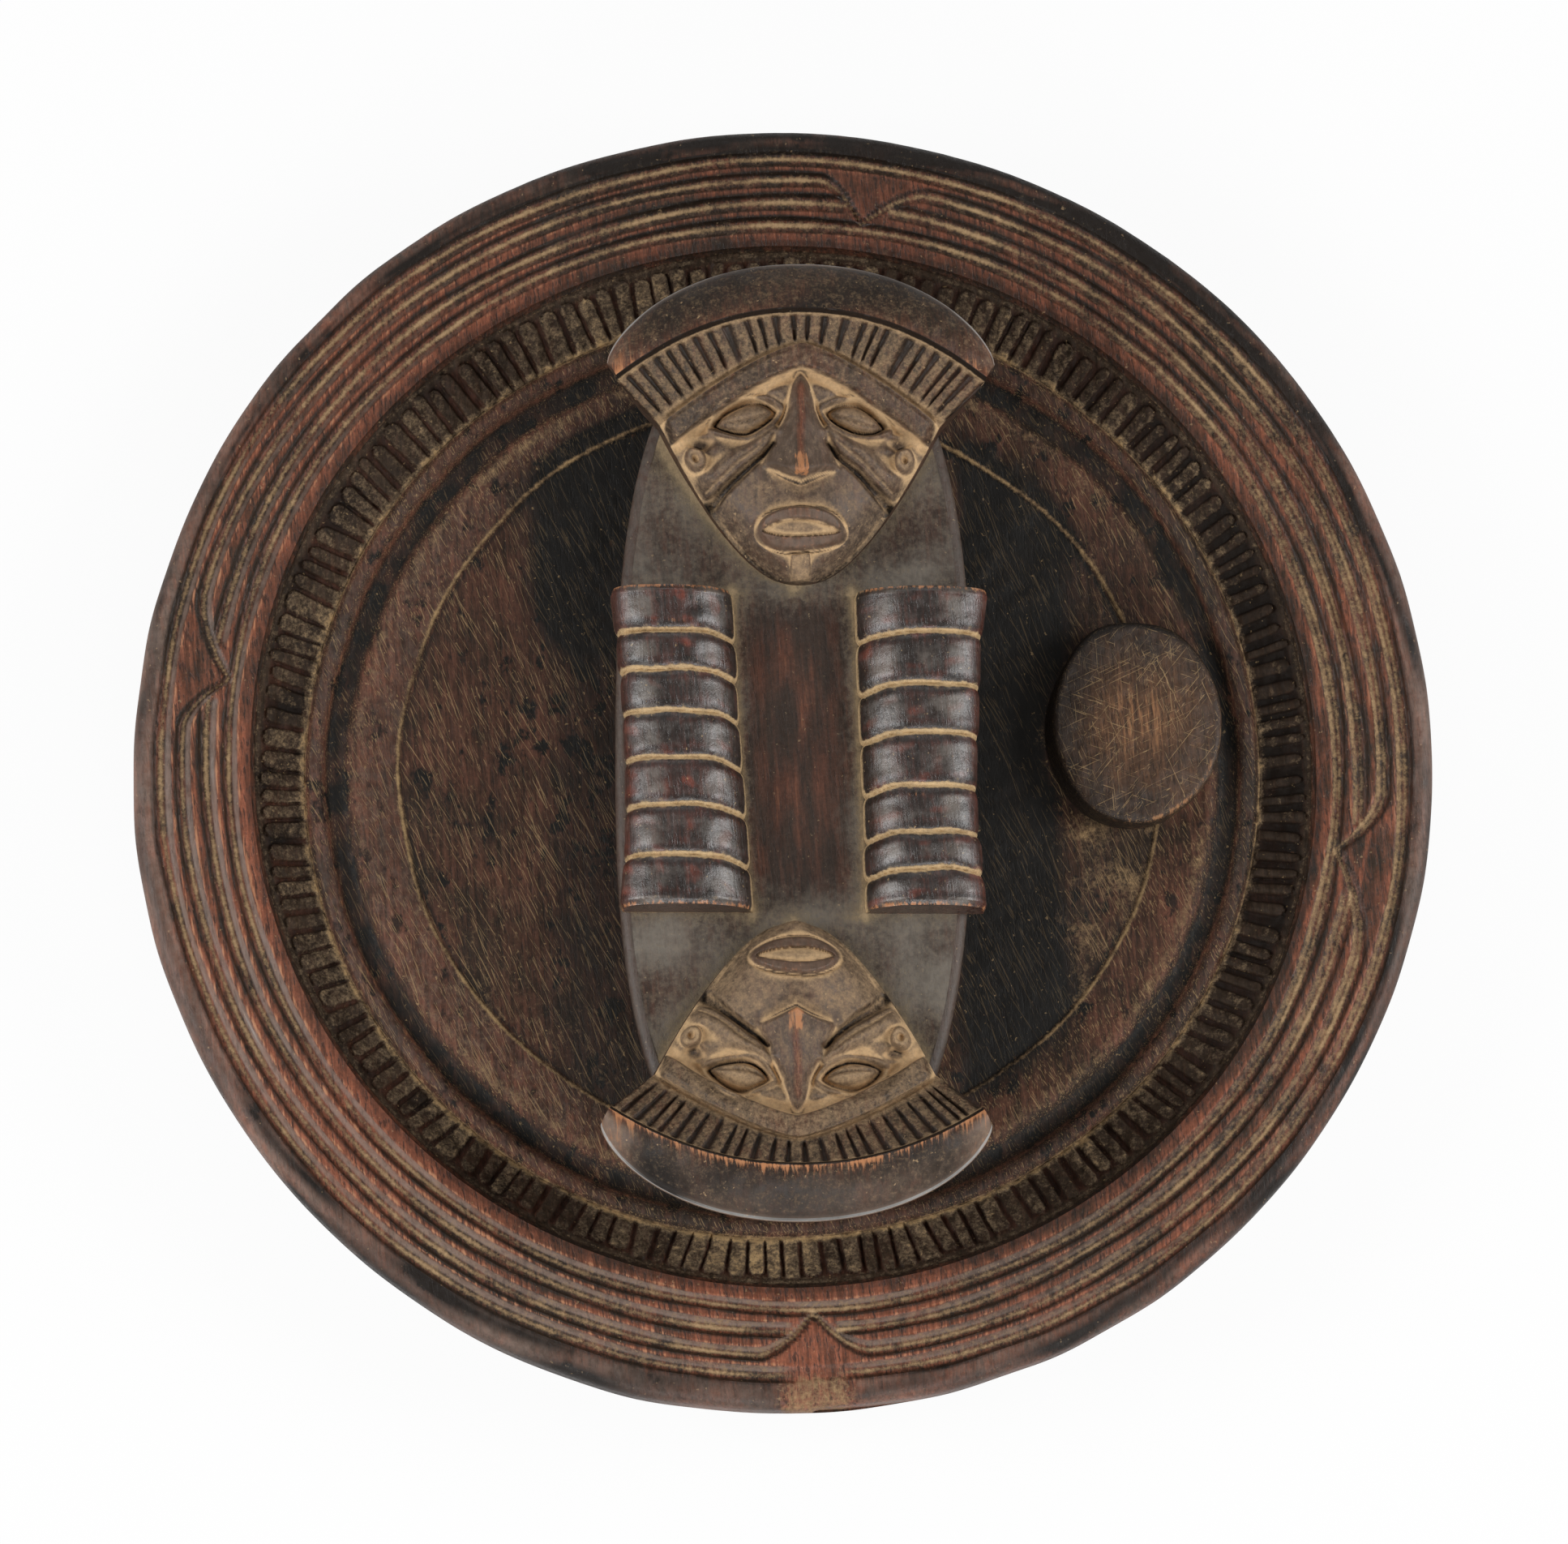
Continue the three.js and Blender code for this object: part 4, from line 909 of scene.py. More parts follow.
def make_board():
    """The lid's board: a strip across the boat outline at each step along it, closed round its
    section, with a wide soft bevel. At its two ends the strips are drawn in almost to a point."""
    along = np.concatenate([[-89.999], np.linspace(-89.3, 89.3, 300), [89.999]])
    turn = np.radians(along)[:, None]
    half, y = boat(turn, BOARD_HALF_WIDTH, BOARD_HALF_LENGTH)
    top_columns, low_columns = 110, 16
    bevel = 2.8
    low = WALL_TOP
    round_over = np.linspace(0.0, np.pi / 2.0, 5, endpoint=False)
    side_inset = np.concatenate([bevel * (1.0 - np.sin(round_over)), [0.0, 0.15, bevel * 0.5]])
    edge_height = BOARD_TOP - 2.2 * (1.0 - np.cos(round_over)) - 0.2 * round_over
    side_height = np.concatenate([edge_height, [BOARD_TOP - 5.0, low + 1.8, low + 0.5]])
    side = np.ones(side_inset.size)
    section_x = np.concatenate([
        np.linspace(-1.0, 1.0, top_columns), side, np.linspace(1.0, -1.0, low_columns), -side,
    ])
    inset = np.concatenate([
        np.full(top_columns, bevel), side_inset, np.full(low_columns, bevel), side_inset[::-1],
    ])
    height = np.concatenate([
        np.full(top_columns, BOARD_TOP), side_height, np.full(low_columns, low), side_height[::-1],
    ])
    least_half_width = 0.02
    x = section_x[None, :] * np.maximum(half - inset[None, :], least_half_width)
    y = y + 0.0 * x
    y = np.sign(y) * np.maximum(np.abs(y) - inset[None, :] * np.abs(np.sin(turn)) ** 3, 0.0)
    height = height[None, :] + 0.0 * x
    is_top = (height > BOARD_TOP - 0.01) & (np.arange(height.shape[1])[None, :] < top_columns)
    height += is_top * (0.14 * ripple(x, y, 22.0, 121) + 0.05 * ripple(x, y, 6.0, 122))
    points = np.stack([x + SHIFT, y, height], -1)
    # dust by the heads and the rolls, and a worn channel; painted shade on the sides, painted sheen on the
    # top and a painted highlight on the bevel
    chin = np.where(y > 0.0, BACK_CHIN, FRONT_CHIN)
    reach = np.abs(y)
    by_head = np.abs(x) - 38.7 * np.clip((reach - chin) / 41.8, 0.0, 1.0) ** JAW_POWER
    chin_gap = np.hypot(x, np.minimum(reach - chin, 0.0))
    beside = np.where(reach > chin, by_head, chin_gap - 1.0)
    beside = np.maximum(beside, 0.0)
    dust = 0.5 * np.exp(-beside / 1.6) + 0.24 * np.exp(-beside / 11.0)
    edges = roll_edges(y)
    in_length = smooth(48.0, 43.0, np.abs(y - ROLL_MIDDLE))
    for edge in edges[1:3]:
        gap = np.abs(x - edge)
        dust += in_length * (0.6 * np.exp(-gap / 1.2) + 0.16 * np.exp(-gap / 3.0))
    end = np.exp(-np.abs(np.abs(y - ROLL_MIDDLE) - 43.5) / 2.0) * smooth(9.0, 16.0, np.abs(x))
    dust += 0.32 * end
    dust = dust * is_top + 0.06
    channel = is_top * smooth(20.0, 6.0, np.abs(x)) * smooth(48.0, 28.0, reach)
    dust = dust * (1.0 - 0.5 * channel) + 0.16 * is_top * (1.0 - channel)
    streaks = ripple(x, y * 0.12, 4.0, 123)
    wear = 0.12 * channel * (0.6 + 0.6 * streaks)
    # Painted shade on the sides and underneath, and soot in the channel
    soot_and_shade = 0.35 * (1.0 - is_top) + channel * (0.05 + 0.2 * ripple(x, y * 0.2, 9.0, 124))
    bevel_zone = smooth(4.6, 3.2, half - np.abs(x)) * (1.0 - is_top) * (height > BOARD_TOP - 4.0)
    red = (0.2 + 0.4 * streaks) * channel + 0.08 + 0.3 * bevel_zone
    # A grey of bloom with painted sheen, dimmer to the back and brighter at the front right, and a painted
    # highlight on the bevel
    bloom_and_sheen = 0.72 - 0.14 * smooth(-40.0, 60.0, y) + 0.15 * smooth(10.0, 35.0, x) * smooth(-40.0, -60.0, y)
    bloom_and_sheen = bloom_and_sheen * is_top * (1.0 - channel) * (0.8 + 0.3 * ripple(x, y, 20.0, 125))
    bloom_and_sheen = np.minimum(bloom_and_sheen + 0.5 * bevel_zone, 0.82)
    finish = {"dust": dust, "wear": wear, "soot_and_shade": soot_and_shade, "red": red, "bloom_and_sheen": bloom_and_sheen}
    piece = build("board", points, (False, True), finish, caps=(0, -1))
    seat(piece, "lid", "lid_wood", board_wood, "lid_board")


def make_plug():
    """The low plug under the board that keeps the lid in place."""
    turn = round_turn(300)
    low = WALL_TOP - PLUG_DEPTH
    inset = np.array([33.0, 20.0, 6.0, 0.8, 0.25, 0.0, 0.0, 1.0, 6.0, 33.0])[:, None]
    height = np.array([low] * 4 + [low + 0.25, low + 0.8] + [WALL_TOP] * 4)[:, None]
    inside = WALL_THICKNESS + PLUG_CLEARANCE
    x, y = boat(turn, WALL_HALF_WIDTH - inside - inset, WALL_HALF_LENGTH - inside - inset)
    points = np.stack([x + SHIFT, y + 0.0 * x, height + 0.0 * x], -1)
    finish = {"dust": 0.15, "soot_and_shade": 0.3, "red": 0.2}
    piece = build("plug", points, (False, True), finish, caps=(0, -1))
    seat(piece, "lid", "lid_wood", board_wood, "lid_board")


# Shares of the roll that each bead takes, from the front
LEFT_BEADS = (12.7, 13.5, 12.8, 12.6, 11.3, 10.4, 12.7)
RIGHT_BEADS = (9.2, 10.1, 12.5, 14.0, 13.1, 14.0, 12.8)


def make_roll(name, side, beads, seed):
    """A roll of beads. Across it the section is a broad arch, steep outside and rounder inside.
    Along it each bead swells from narrow cuts, which bow a little towards the back. The two ends
    are plain dark faces inside a worn edge."""
    first, last = ROLL_MIDDLE - ROLL_HALF_LENGTH, ROLL_MIDDLE + ROLL_HALF_LENGTH
    lengths = np.array(beads) * 2.0 * ROLL_HALF_LENGTH / sum(beads)
    cuts = np.concatenate([[0.0], np.cumsum(lengths)]) + first
    rows, columns = 260, 100
    along = np.linspace(first, last, rows)[:, None]
    arch = np.linspace(np.pi, 0.0, columns)[None, :]
    left_outer, left_inner, right_inner, right_outer = roll_edges(along)
    low, high = (left_outer, left_inner) if side < 0 else (right_inner, right_outer)
    middle, half = (low + high) / 2.0, (high - low) / 2.0
    to_inside = -side * np.cos(arch)
    bow = along - 0.5 * (1.0 - np.cos(arch) ** 2) - 0.4 * np.cos(arch) * side
    bow = bow + 0.9 * smooth(0.4, 1.0, to_inside) + 0.22 * ripple(9.0 * np.cos(arch), along, 9.0, seed + 6)
    place = np.clip(bow, first, last)
    index = np.clip(np.searchsorted(cuts, place) - 1, 0, len(beads) - 1)
    start, length = cuts[index], lengths[index]
    from_cut = np.minimum(place - start, start + length - place)
    swell = np.sqrt(np.clip(1.0 - (1.0 - np.clip(from_cut / 3.8, 0.0, 1.0)) ** 2.2, 0.0, 1.0))
    open_end = np.minimum(along - first, last - along)
    near_end = (open_end < 3.4) & (from_cut >= open_end - 1.2)
    swell = np.where(near_end, np.maximum(swell, 0.55 + 0.45 * smooth(0.0, 1.6, open_end)), swell)
    rng = np.random.default_rng(seed)
    tall = rng.uniform(-0.35, 0.35, len(beads))[index]
    pinch = 1.9 * (1.0 - swell) - tall * swell
    cosine, sine = blunt(np.cos(arch), 0.8), np.sin(arch)
    power = mix(0.5, 0.95, smooth(-0.4, 0.5, to_inside))
    x = middle + (half - 0.75 * pinch) * cosine
    height = BOARD_TOP + 1.0 + (14.4 - pinch) * sine**power
    height = height - 1.1 * smooth(0.0, 1.0, to_inside) * sine
    y = along + np.zeros_like(arch)
    height = height + 0.1 * ripple(x, y, 7.0, seed + 1)
    height[:, [0, -1]] = BOARD_TOP + 0.6
    foot_x = x[:, [-1, 0]]
    points = np.stack([
        np.concatenate([x, foot_x], 1) + SHIFT, np.concatenate([y, y[:, :2]], 1),
        np.concatenate([height, np.full((rows, 2), BOARD_TOP)], 1),
    ], -1)
    near = hollows(points, (2, 2), (False, True))

    def skirt(grid):
        """Carries a grid of the visible section over to the foot's two columns."""
        return np.pad(grid + np.zeros_like(x), ((0, 0), (0, 2)), mode="edge")

    cut_line = skirt(smooth(1.1, 0.45, from_cut) * (open_end > 2.0))
    specked = skirt(smooth(3.4, 0.8, from_cut) * np.clip(ripple(x, y, 2.6, seed + 7), 0.0, 1.0))
    shade_beside_cut = skirt(bell(from_cut, 2.2, 0.8) * (open_end > 2.0))
    inner_foot = skirt(smooth(0.94, 0.99, to_inside))
    dust = 1.1 * cut_line + 0.34 * specked + 0.9 * inner_foot + 0.1 * smooth(0.05, 0.3, near)
    edge = bell(skirt(from_cut), 2.6, 0.8)
    wear = 0.16 * edge * (0.3 + 0.7 * skirt(ripple(x, y, 9.0, seed + 2)))
    wear += 0.12 * smooth(0.1, 0.4, -near)
    wear += 0.6 * skirt(smooth(1.4, 0.3, open_end)) * (1.0 - inner_foot)
    # Painted sheen on both flanks where the side lamps would shine, and painted shade with some grime beside
    # each cut and along the inner foot
    lit_flanks = bell(np.cos(arch), 0.52, 0.26) + bell(np.cos(arch), -0.5, 0.28)
    soot_and_shade = 0.12 + 0.45 * shade_beside_cut + 0.2 * skirt(ripple(x, y, 9.0, seed + 3))
    soot_and_shade += 0.4 * skirt(smooth(0.75, 0.95, to_inside))
    red = 0.06 + 0.2 * edge + 0.3 * skirt(smooth(0.6, 0.95, -to_inside))
    red += 0.7 * skirt(smooth(0.5, 1.5, ripple(x, y, 7.0, seed + 4)))
    bloom_and_sheen = skirt(0.16 + 0.42 * lit_flanks + 0.12 * ripple(x, y, 11.0, seed + 5)) * (1.0 - 0.7 * shade_beside_cut)
    clear = 1.0 - cut_line
    finish = {"dust": dust, "wear": wear * clear, "soot_and_shade": soot_and_shade * clear, "red": red, "bloom_and_sheen": bloom_and_sheen * clear}
    # end faces
    ends = points[[0, -1]]
    inner = mix(ends, ends.mean(1, keepdims=True), 0.07)
    plain = {"dust": 0.16, "wear": 0.0, "soot_and_shade": 0.35, "red": 0.3, "bloom_and_sheen": 0.35}
    finish = widen(finish, points.shape[:2], ((1, 1), (0, 0)), plain)
    points = np.concatenate([inner[:1], points, inner[1:]])
    piece = build("beads_" + name, points, (False, True), finish, caps=(0, -1))
    seat(piece, "lid", "roll_wood", roll_wood, name)


# ---------------------------------------------------------------- heads

# Curves across a head: half width, how far out its middle and its ends lie along the head, how high
# they stand, as shares of the head, and the power of the arch between them.
CHIN_CURVE = np.array((0.08, 0.0, 0.01, 0.2, 0.16, 2.0))
HAIRLINE = np.array((0.72, 0.734, 0.505, 0.747, 0.25, 1.35))
CREST_FOOT = np.array((0.945, 0.822, 0.625, 0.88, 0.55, 2.1))
RIDGE = np.array((0.957, 0.834, 0.637, 1.0, 0.66, 2.1))
CREST_EDGE = np.array((1.0, 1.0, 0.685, 0.7, 0.58, 2.35))
CREST_UNDER = np.array((0.985, 0.985, 0.67, 0.53, 0.44, 2.35))
NECK = np.array((0.735, 0.734, 0.505, 0.0, 0.0, 2.35))
FAN_ANGLE = 0.97

# Rows of a head from the chin out, and the row at which each stretch starts
FACE_ROWS, HAIR_ROWS, STEP_ROWS, CREST_ROWS, EDGE_ROWS = 176, 45, 8, 35, 10
HAIR_START = FACE_ROWS
STEP_START = HAIR_START + HAIR_ROWS
CREST_START = STEP_START + STEP_ROWS
EDGE_START = CREST_START + CREST_ROWS
ALL_ROWS = EDGE_START + EDGE_ROWS

# The features of a face are placed on a head of this size, and follow the head that they are on
FEATURES_CHIN = 45.7
FEATURES_LENGTH = 82.7


def head_line(curves, across, chin, length, blunt_ends=0.0):
    """Points of curves, one a row, at shares of the way across: the middle's place and the ends'
    place mixed by the arch, a power of the distance from the middle. Blunt ends, from 0 to 1, turn
    the arch into one that comes down steeply at its ends."""
    width, middle, ends, high, low, power = (curves[:, k : k + 1] for k in range(6))
    drop = np.abs(across) ** power
    steep = 1.0 - np.clip(1.0 - np.abs(across) ** 2.1, 0.0, 1.0) ** 0.66
    x = across * width * CREST_HALF_WIDTH
    y = chin + length * mix(middle, ends, mix(drop, steep, blunt_ends))
    z = HEAD_HEIGHT * mix(high, low, drop)
    return x, y, z


def stroke(x, y, start, end):
    """Distance from a straight stroke, and the share of the way along it."""
    run = np.array(end) - np.array(start)
    share = np.clip(((x - start[0]) * run[0] + (y - start[1]) * run[1]) / (run @ run), 0.0, 1.0)
    return np.hypot(x - start[0] - share * run[0], y - start[1] - share * run[1]), share


def slanted(x, y, centre, slant):
    """Places along and across a slanting line through a centre."""
    cosine, sine = np.cos(slant), np.sin(slant)
    right, up = x - centre[0], y - centre[1]
    return right * cosine + up * sine, up * cosine - right * sine


def almond(x, y, centre, half_length, half_height, slant):
    """1 in the middle of a pointed oval, 0 on its outline and negative outside."""
    p, q = slanted(x, y, centre, slant)
    return 1.0 - np.abs(p / half_length) ** 1.7 - np.abs(q / half_height) ** 1.35


def face_relief(x, y, band, mouth, tabbed):
    """Heights over the plain face, in mm, from simple shapes laid out alike on both sides: a wedge of
    a nose, lens-shaped eyes in shallow sockets with a crease for a lid, a cheek ridge over a long
    gouge, a rounded muzzle with a lens of a mouth, ear knobs and, if tabbed, a tab under the chin.
    Band is the distance from the hairline and mouth the mouth's place. Also returns marks, 1 where
    each feature lies and 0 elsewhere, by which the finish is laid."""
    side = np.abs(x)
    # forehead band, lower at the hairline, and a soft groove under it
    relief = 1.9 * smooth(6.4, 5.6, band) - 0.6 * smooth(1.8, 0.0, band)
    relief -= 1.3 * bell(band, 7.6, 1.6)
    # sockets
    socket = almond(side, y, (16.0, 88.0), 14.5, 8.5, -0.2)
    relief -= 2.3 * smooth(-0.1, 0.75, socket)
    # eyes: a lens inside a groove, under an arched lid
    eye = almond(side, y, (14.8, 88.4), 6.9, 3.3, -0.22)
    relief += 2.4 * np.sqrt(np.clip(eye, 0.0, 1.0))
    eye_groove = bell(eye, -0.22, 0.2)
    relief -= eye_groove
    relief += bell(eye, -0.85, 0.32)
    eye_along, eye_across = slanted(side, y, (14.8, 88.4), -0.22)
    lid = bell(eye_across - 0.022 * eye_along**2, -1.25, 0.42) * smooth(0.05, 0.25, eye)
    relief -= 0.6 * lid
    # cheek: ridge above, gouge below
    ridge, ridge_share = stroke(side, y, (7.0, 84.6), (25.5, 72.2))
    relief += 1.9 * bell(ridge, 0.0, mix(1.5, 2.6, ridge_share))
    gouge_line, gouge_share = stroke(side, y, (7.2, 81.2), (25.0, 65.6))
    gouge_width = mix(0.8, 2.1, gouge_share)
    cut = smooth(1.3, 0.2, gouge_line / gouge_width)
    relief -= mix(1.2, 2.9, gouge_share) * cut
    fine_line, _ = stroke(side, y, (9.5, 81.9), (25.0, 70.0))
    relief -= 0.5 * bell(fine_line, 0.0, 0.5)
    # muzzle
    muzzle = bell(side, 0.0, 15.5) * bell(y, 61.0, 12.0)
    relief += 4.6 * muzzle
    # nose: two slopes from a ridge, and a steep cut under the tip
    down = np.clip((99.5 - y) / (99.5 - 74.0), 0.0, 1.3)
    half = mix(1.3, 11.6, np.clip(down, 0.0, 1.0) ** 1.25)
    crown = mix(1.6, 6.8, np.clip(down, 0.0, 1.0))
    base = 70.8 + 0.42 * side
    under = smooth(-0.6, 1.5, y - base)
    top = smooth(101.0, 98.0, y)
    wedge = np.clip(1.0 - side / half, 0.0, 1.0) ** 0.9
    relief += crown * wedge * under * top
    edge = bell(side, half, 0.9) * under * top * smooth(0.1, 0.4, down)
    relief -= 0.7 * edge
    # mouth: a raised oval, parted by a lens
    lips_edge = np.abs(x / 11.2) ** 2.2 + np.abs((y - mouth) / 5.2) ** 2.0
    relief += 1.5 * smooth(1.12, 0.8, lips_edge)
    relief -= 0.5 * bell(lips_edge, 1.22, 0.14)
    slit = almond(x, y, (0.0, mouth), 10.0, 2.2, 0.0)
    relief -= 1.5 * smooth(-0.25, 0.1, slit)
    relief += 1.1 * np.clip(slit, 0.0, 1.0) ** 0.6
    # chin tab
    tab = np.maximum(np.abs(x) / 2.5, np.abs(y - 49.0) / 3.4)
    tab_edge = tabbed * smooth(1.15, 0.85, tab)
    relief += 0.8 * tab_edge
    # ears
    ear = np.hypot((side - 28.0) / 2.6, (y - 77.8) / 3.1)
    relief += 2.3 * smooth(1.25, 0.75, ear) - 1.3 * smooth(0.55, 0.15, ear)
    ear_hollow = np.hypot((side - 26.3) / 3.6, (y - 82.2) / 2.2)
    relief -= 1.8 * smooth(1.2, 0.3, ear_hollow)
    tip = smooth(2.6, 1.2, side) * smooth(71.0, 72.5, y) * smooth(78.5, 76.3, y)
    below_nose = bell(y - base, -2.4, 1.9) * smooth(13.0, 10.5, side)
    nose_ridge = bell(side, 0.0, 1.0) * smooth(98.0, 94.0, y) * smooth(74.0, 77.0, y)
    on_nose = smooth(1.0, 0.8, side / half) * under * top
    marks = {
        "nose_tip": tip,
        "nose_ridge": nose_ridge,
        "nose": on_nose,
        "below_nose": below_nose,
        "cut": cut,
        "eye": smooth(0.0, 0.3, eye),
        "eye_line": np.maximum(eye_groove * (y < 88.6), 0.7 * lid),
        "lips": smooth(1.15, 0.95, lips_edge) * (1.0 - smooth(-0.2, 0.1, slit)),
        "slit": smooth(-0.1, 0.2, slit),
        "ear": smooth(1.1, 0.6, ear),
        "hollow": smooth(1.0, 0.3, ear_hollow),
        "tab": tab_edge,
        "muzzle": muzzle,
    }
    return relief, marks


def fanned(fan):
    """Shares of the way across a head that close up towards its sides, like the ribs of a fan."""
    return (np.sin(FAN_ANGLE * fan) / np.sin(FAN_ANGLE))[None, :]


def after_first(rows):
    """Shares of the way along a stretch of rows whose first row belongs to the stretch before."""
    return np.linspace(0.0, 1.0, rows + 1)[1:]


def jaw_curves(end):
    """Curves of the face rows, from the chin to a curve whose width is reached as a power."""
    curves = []
    for share in np.linspace(0.004, 1.0, FACE_ROWS):
        curve = mix(CHIN_CURVE, end, share)
        curve[0] = mix(CHIN_CURVE[0], end[0], share**JAW_POWER)
        curves.append(curve)
    return curves


def upper_curves():
    """Curves of the head's upper rows from the chin to the crest's outer edge."""
    curves = jaw_curves(HAIRLINE)
    for share in after_first(HAIR_ROWS):
        curves.append(mix(HAIRLINE, CREST_FOOT, share))
    for share in after_first(STEP_ROWS):
        curve = mix(CREST_FOOT, RIDGE, share)
        curve[3:5] = mix(CREST_FOOT, RIDGE, share**0.8)[3:5]
        curves.append(curve)
    for share in after_first(CREST_ROWS):
        curve = mix(RIDGE, CREST_EDGE, share)
        curve[3:5] += 0.05 * np.sin(np.pi * share) - 0.03 * smooth(0.9, 1.0, share)
        curves.append(curve)
    edge = CREST_EDGE - np.array((0.0, 0.0, 0.0, 0.03, 0.03, 0.0))
    for share in after_first(EDGE_ROWS):
        curve = mix(edge, CREST_UNDER, share)
        curve[:3] = mix(edge, CREST_UNDER, share**3)[:3] + 0.004 * np.sin(np.pi * share)
        curves.append(curve)
    return np.array(curves)


def lower_curves():
    """Curves of the head's underside below those rows: on the board as far as the neck, and then up
    to the crest."""
    curves = jaw_curves(NECK)
    for curve in curves:
        curve[3:5] = 0.0
    for share in after_first(ALL_ROWS - FACE_ROWS):
        curve = mix(NECK, CREST_UNDER, share)
        curve[3:5] = CREST_UNDER[3:5] * smooth(0.25, 1.0, share)
        curves.append(curve)
    return np.array(curves)


def make_head(
    name, facing, place, mouth, tabbed, seed, ridge_wear, crest_dust, crest_sheen, hair_dust, face_dust,
):
    """One head as rows from its chin out to the edge of its crest, each closed round its section: the
    carved top, the sides, and the underside. Facing is 1 for the head at the back and -1 for the
    front one, which is turned half round. Place is how far it stands to the right, the chin's
    distance from the middle, and the length."""
    off_side, chin, length = place
    curves = upper_curves()
    row = np.arange(ALL_ROWS)[:, None]
    on_face = row < HAIR_START
    in_hair = (row >= HAIR_START) & (row < STEP_START)
    on_step = (row >= STEP_START) & (row < CREST_START)
    in_crest = (row >= CREST_START) & (row < EDGE_START)
    on_edge = row >= EDGE_START
    columns, low_columns = 280, 28
    fan = np.linspace(-1.0, 1.0, columns)
    across = fanned(fan)
    blunt_ends = np.clip((row - CREST_START) / CREST_ROWS, 0.0, 1.0)
    x, y, z = head_line(curves, across, chin, length, blunt_ends)
    hair_x, hair_y, _ = head_line(HAIRLINE[None, :], across, chin, length)
    band = np.where(on_face, np.hypot(x - hair_x, y - hair_y), 0.0)
    jog_x = x + 0.35 * ripple(x, y, 16.0, seed)
    jog_y = FEATURES_CHIN + (y - chin) * FEATURES_LENGTH / length + 0.35 * ripple(x, y, 16.0, seed + 1)
    relief, marks = face_relief(jog_x, jog_y, band, mouth, tabbed)
    edge_gap = (1.0 - np.abs(across)) * curves[:, :1] * CREST_HALF_WIDTH
    jaw = smooth(chin + 34.0, chin + 18.0, y)
    roll_off = smooth(mix(3.2, 8.0, jaw), 0.0, edge_gap)
    keep = on_face * smooth(0.0, 2.2, edge_gap + 0.3)
    z = z + 1.4 * relief * keep
    z = z - on_face * np.minimum(mix(1.6, 4.0, jaw), mix(0.4, 0.6, jaw) * z) * roll_off**1.6
    # hair: ribs with narrow cuts, which stop short of both ends
    hair_share = np.clip((row - HAIR_START) / HAIR_ROWS, 0.0, 1.0)
    phase = HAIR_RIBS * (fan[None, :] + 1.0) / 2.0 + 0.2 * wander(2.2 * fan[None, :], seed + 6, 3, 14)
    to_cut = np.abs(2.0 * (phase - np.floor(phase)) - 1.0)
    rib_cut = smooth(mix(0.62, 0.36, hair_share), mix(1.0, 0.86, hair_share), to_cut)
    rib_cut = rib_cut * smooth(0.0, 0.3, hair_share) * smooth(1.0, 0.94, hair_share)
    z = z - in_hair * 1.3 * rib_cut
    z = z - in_hair * 0.8 * bell(hair_share, 0.02, 0.06)
    z = z + (in_crest | in_hair) * 0.12 * ripple(x, y, 7.0, seed + 2)
    z = z + 0.08 * ripple(x, y, 10.0, seed + 3)
    # underside, and two rows of points up each side
    low_across = fanned(np.linspace(1.0, -1.0, low_columns))
    upper = np.stack([x, y, z], -1)
    lower = np.stack(head_line(lower_curves(), low_across, chin, length, blunt_ends), -1)
    right = [mix(upper[:, -1:], lower[:, :1], share) for share in (0.33, 0.67)]
    left = [mix(lower[:, -1:], upper[:, :1], share) for share in (0.33, 0.67)]
    points = np.concatenate([upper, *right, lower, *left], 1)
    turned = points * np.array([facing, facing, 1.0])
    turned = turned + np.array([SHIFT + off_side, 0.0, BOARD_TOP])
    near = hollows(upper, (2, 2), (False, False), -1.0)
    far = hollows(upper, (7, 6), (False, False), -1.0)
    # finish: dust; soot with painted shade in the cuts, crevices, eye lines and ear hollows, on the step and
    # along the face's edges; wear; red; and grey bloom with painted sheen, with a painted glint along the
    # crest's edge
    m = {key: value * on_face for key, value in marks.items()}
    deep = smooth(0.22, 0.5, near)
    in_band = on_face * smooth(6.4, 5.4, band)
    dust = face_dust + 0.7 * smooth(-0.1, 0.45, far) + 0.25 * smooth(0.02, 0.15, near)
    dust = on_face * dust * (1.0 - 0.6 * deep) - 0.05 * in_band
    dust = dust * (1.0 - 0.7 * m["cut"]) * (1.0 - 0.4 * m["nose"]) * (1.0 - 0.7 * m["hollow"])
    dust = dust * (1.0 - 0.7 * m["eye_line"]) * (1.0 - 0.6 * m["lips"]) * (1.0 - 0.5 * m["below_nose"])
    dust -= 0.1 * m["muzzle"]
    dust += 0.32 * m["slit"] + 0.15 * m["eye"] + 0.26 * m["tab"] + 0.2 * m["ear"]
    dust += in_hair * (hair_dust * (1.0 - 0.8 * rib_cut) + 0.3 * smooth(0.2, 0.05, hair_share))
    dust += in_hair * 0.5 * hair_dust * smooth(0.9, 0.98, hair_share)
    dust += in_crest * crest_dust * smooth(EDGE_START - 2.0, EDGE_START - 6.0, row)
    dust += on_step * 0.75 * smooth(0.35, 0.0, (row - STEP_START) / STEP_ROWS)
    horns = (row >= CREST_START) * smooth(0.7, 0.99, np.abs(fan))[None, :]
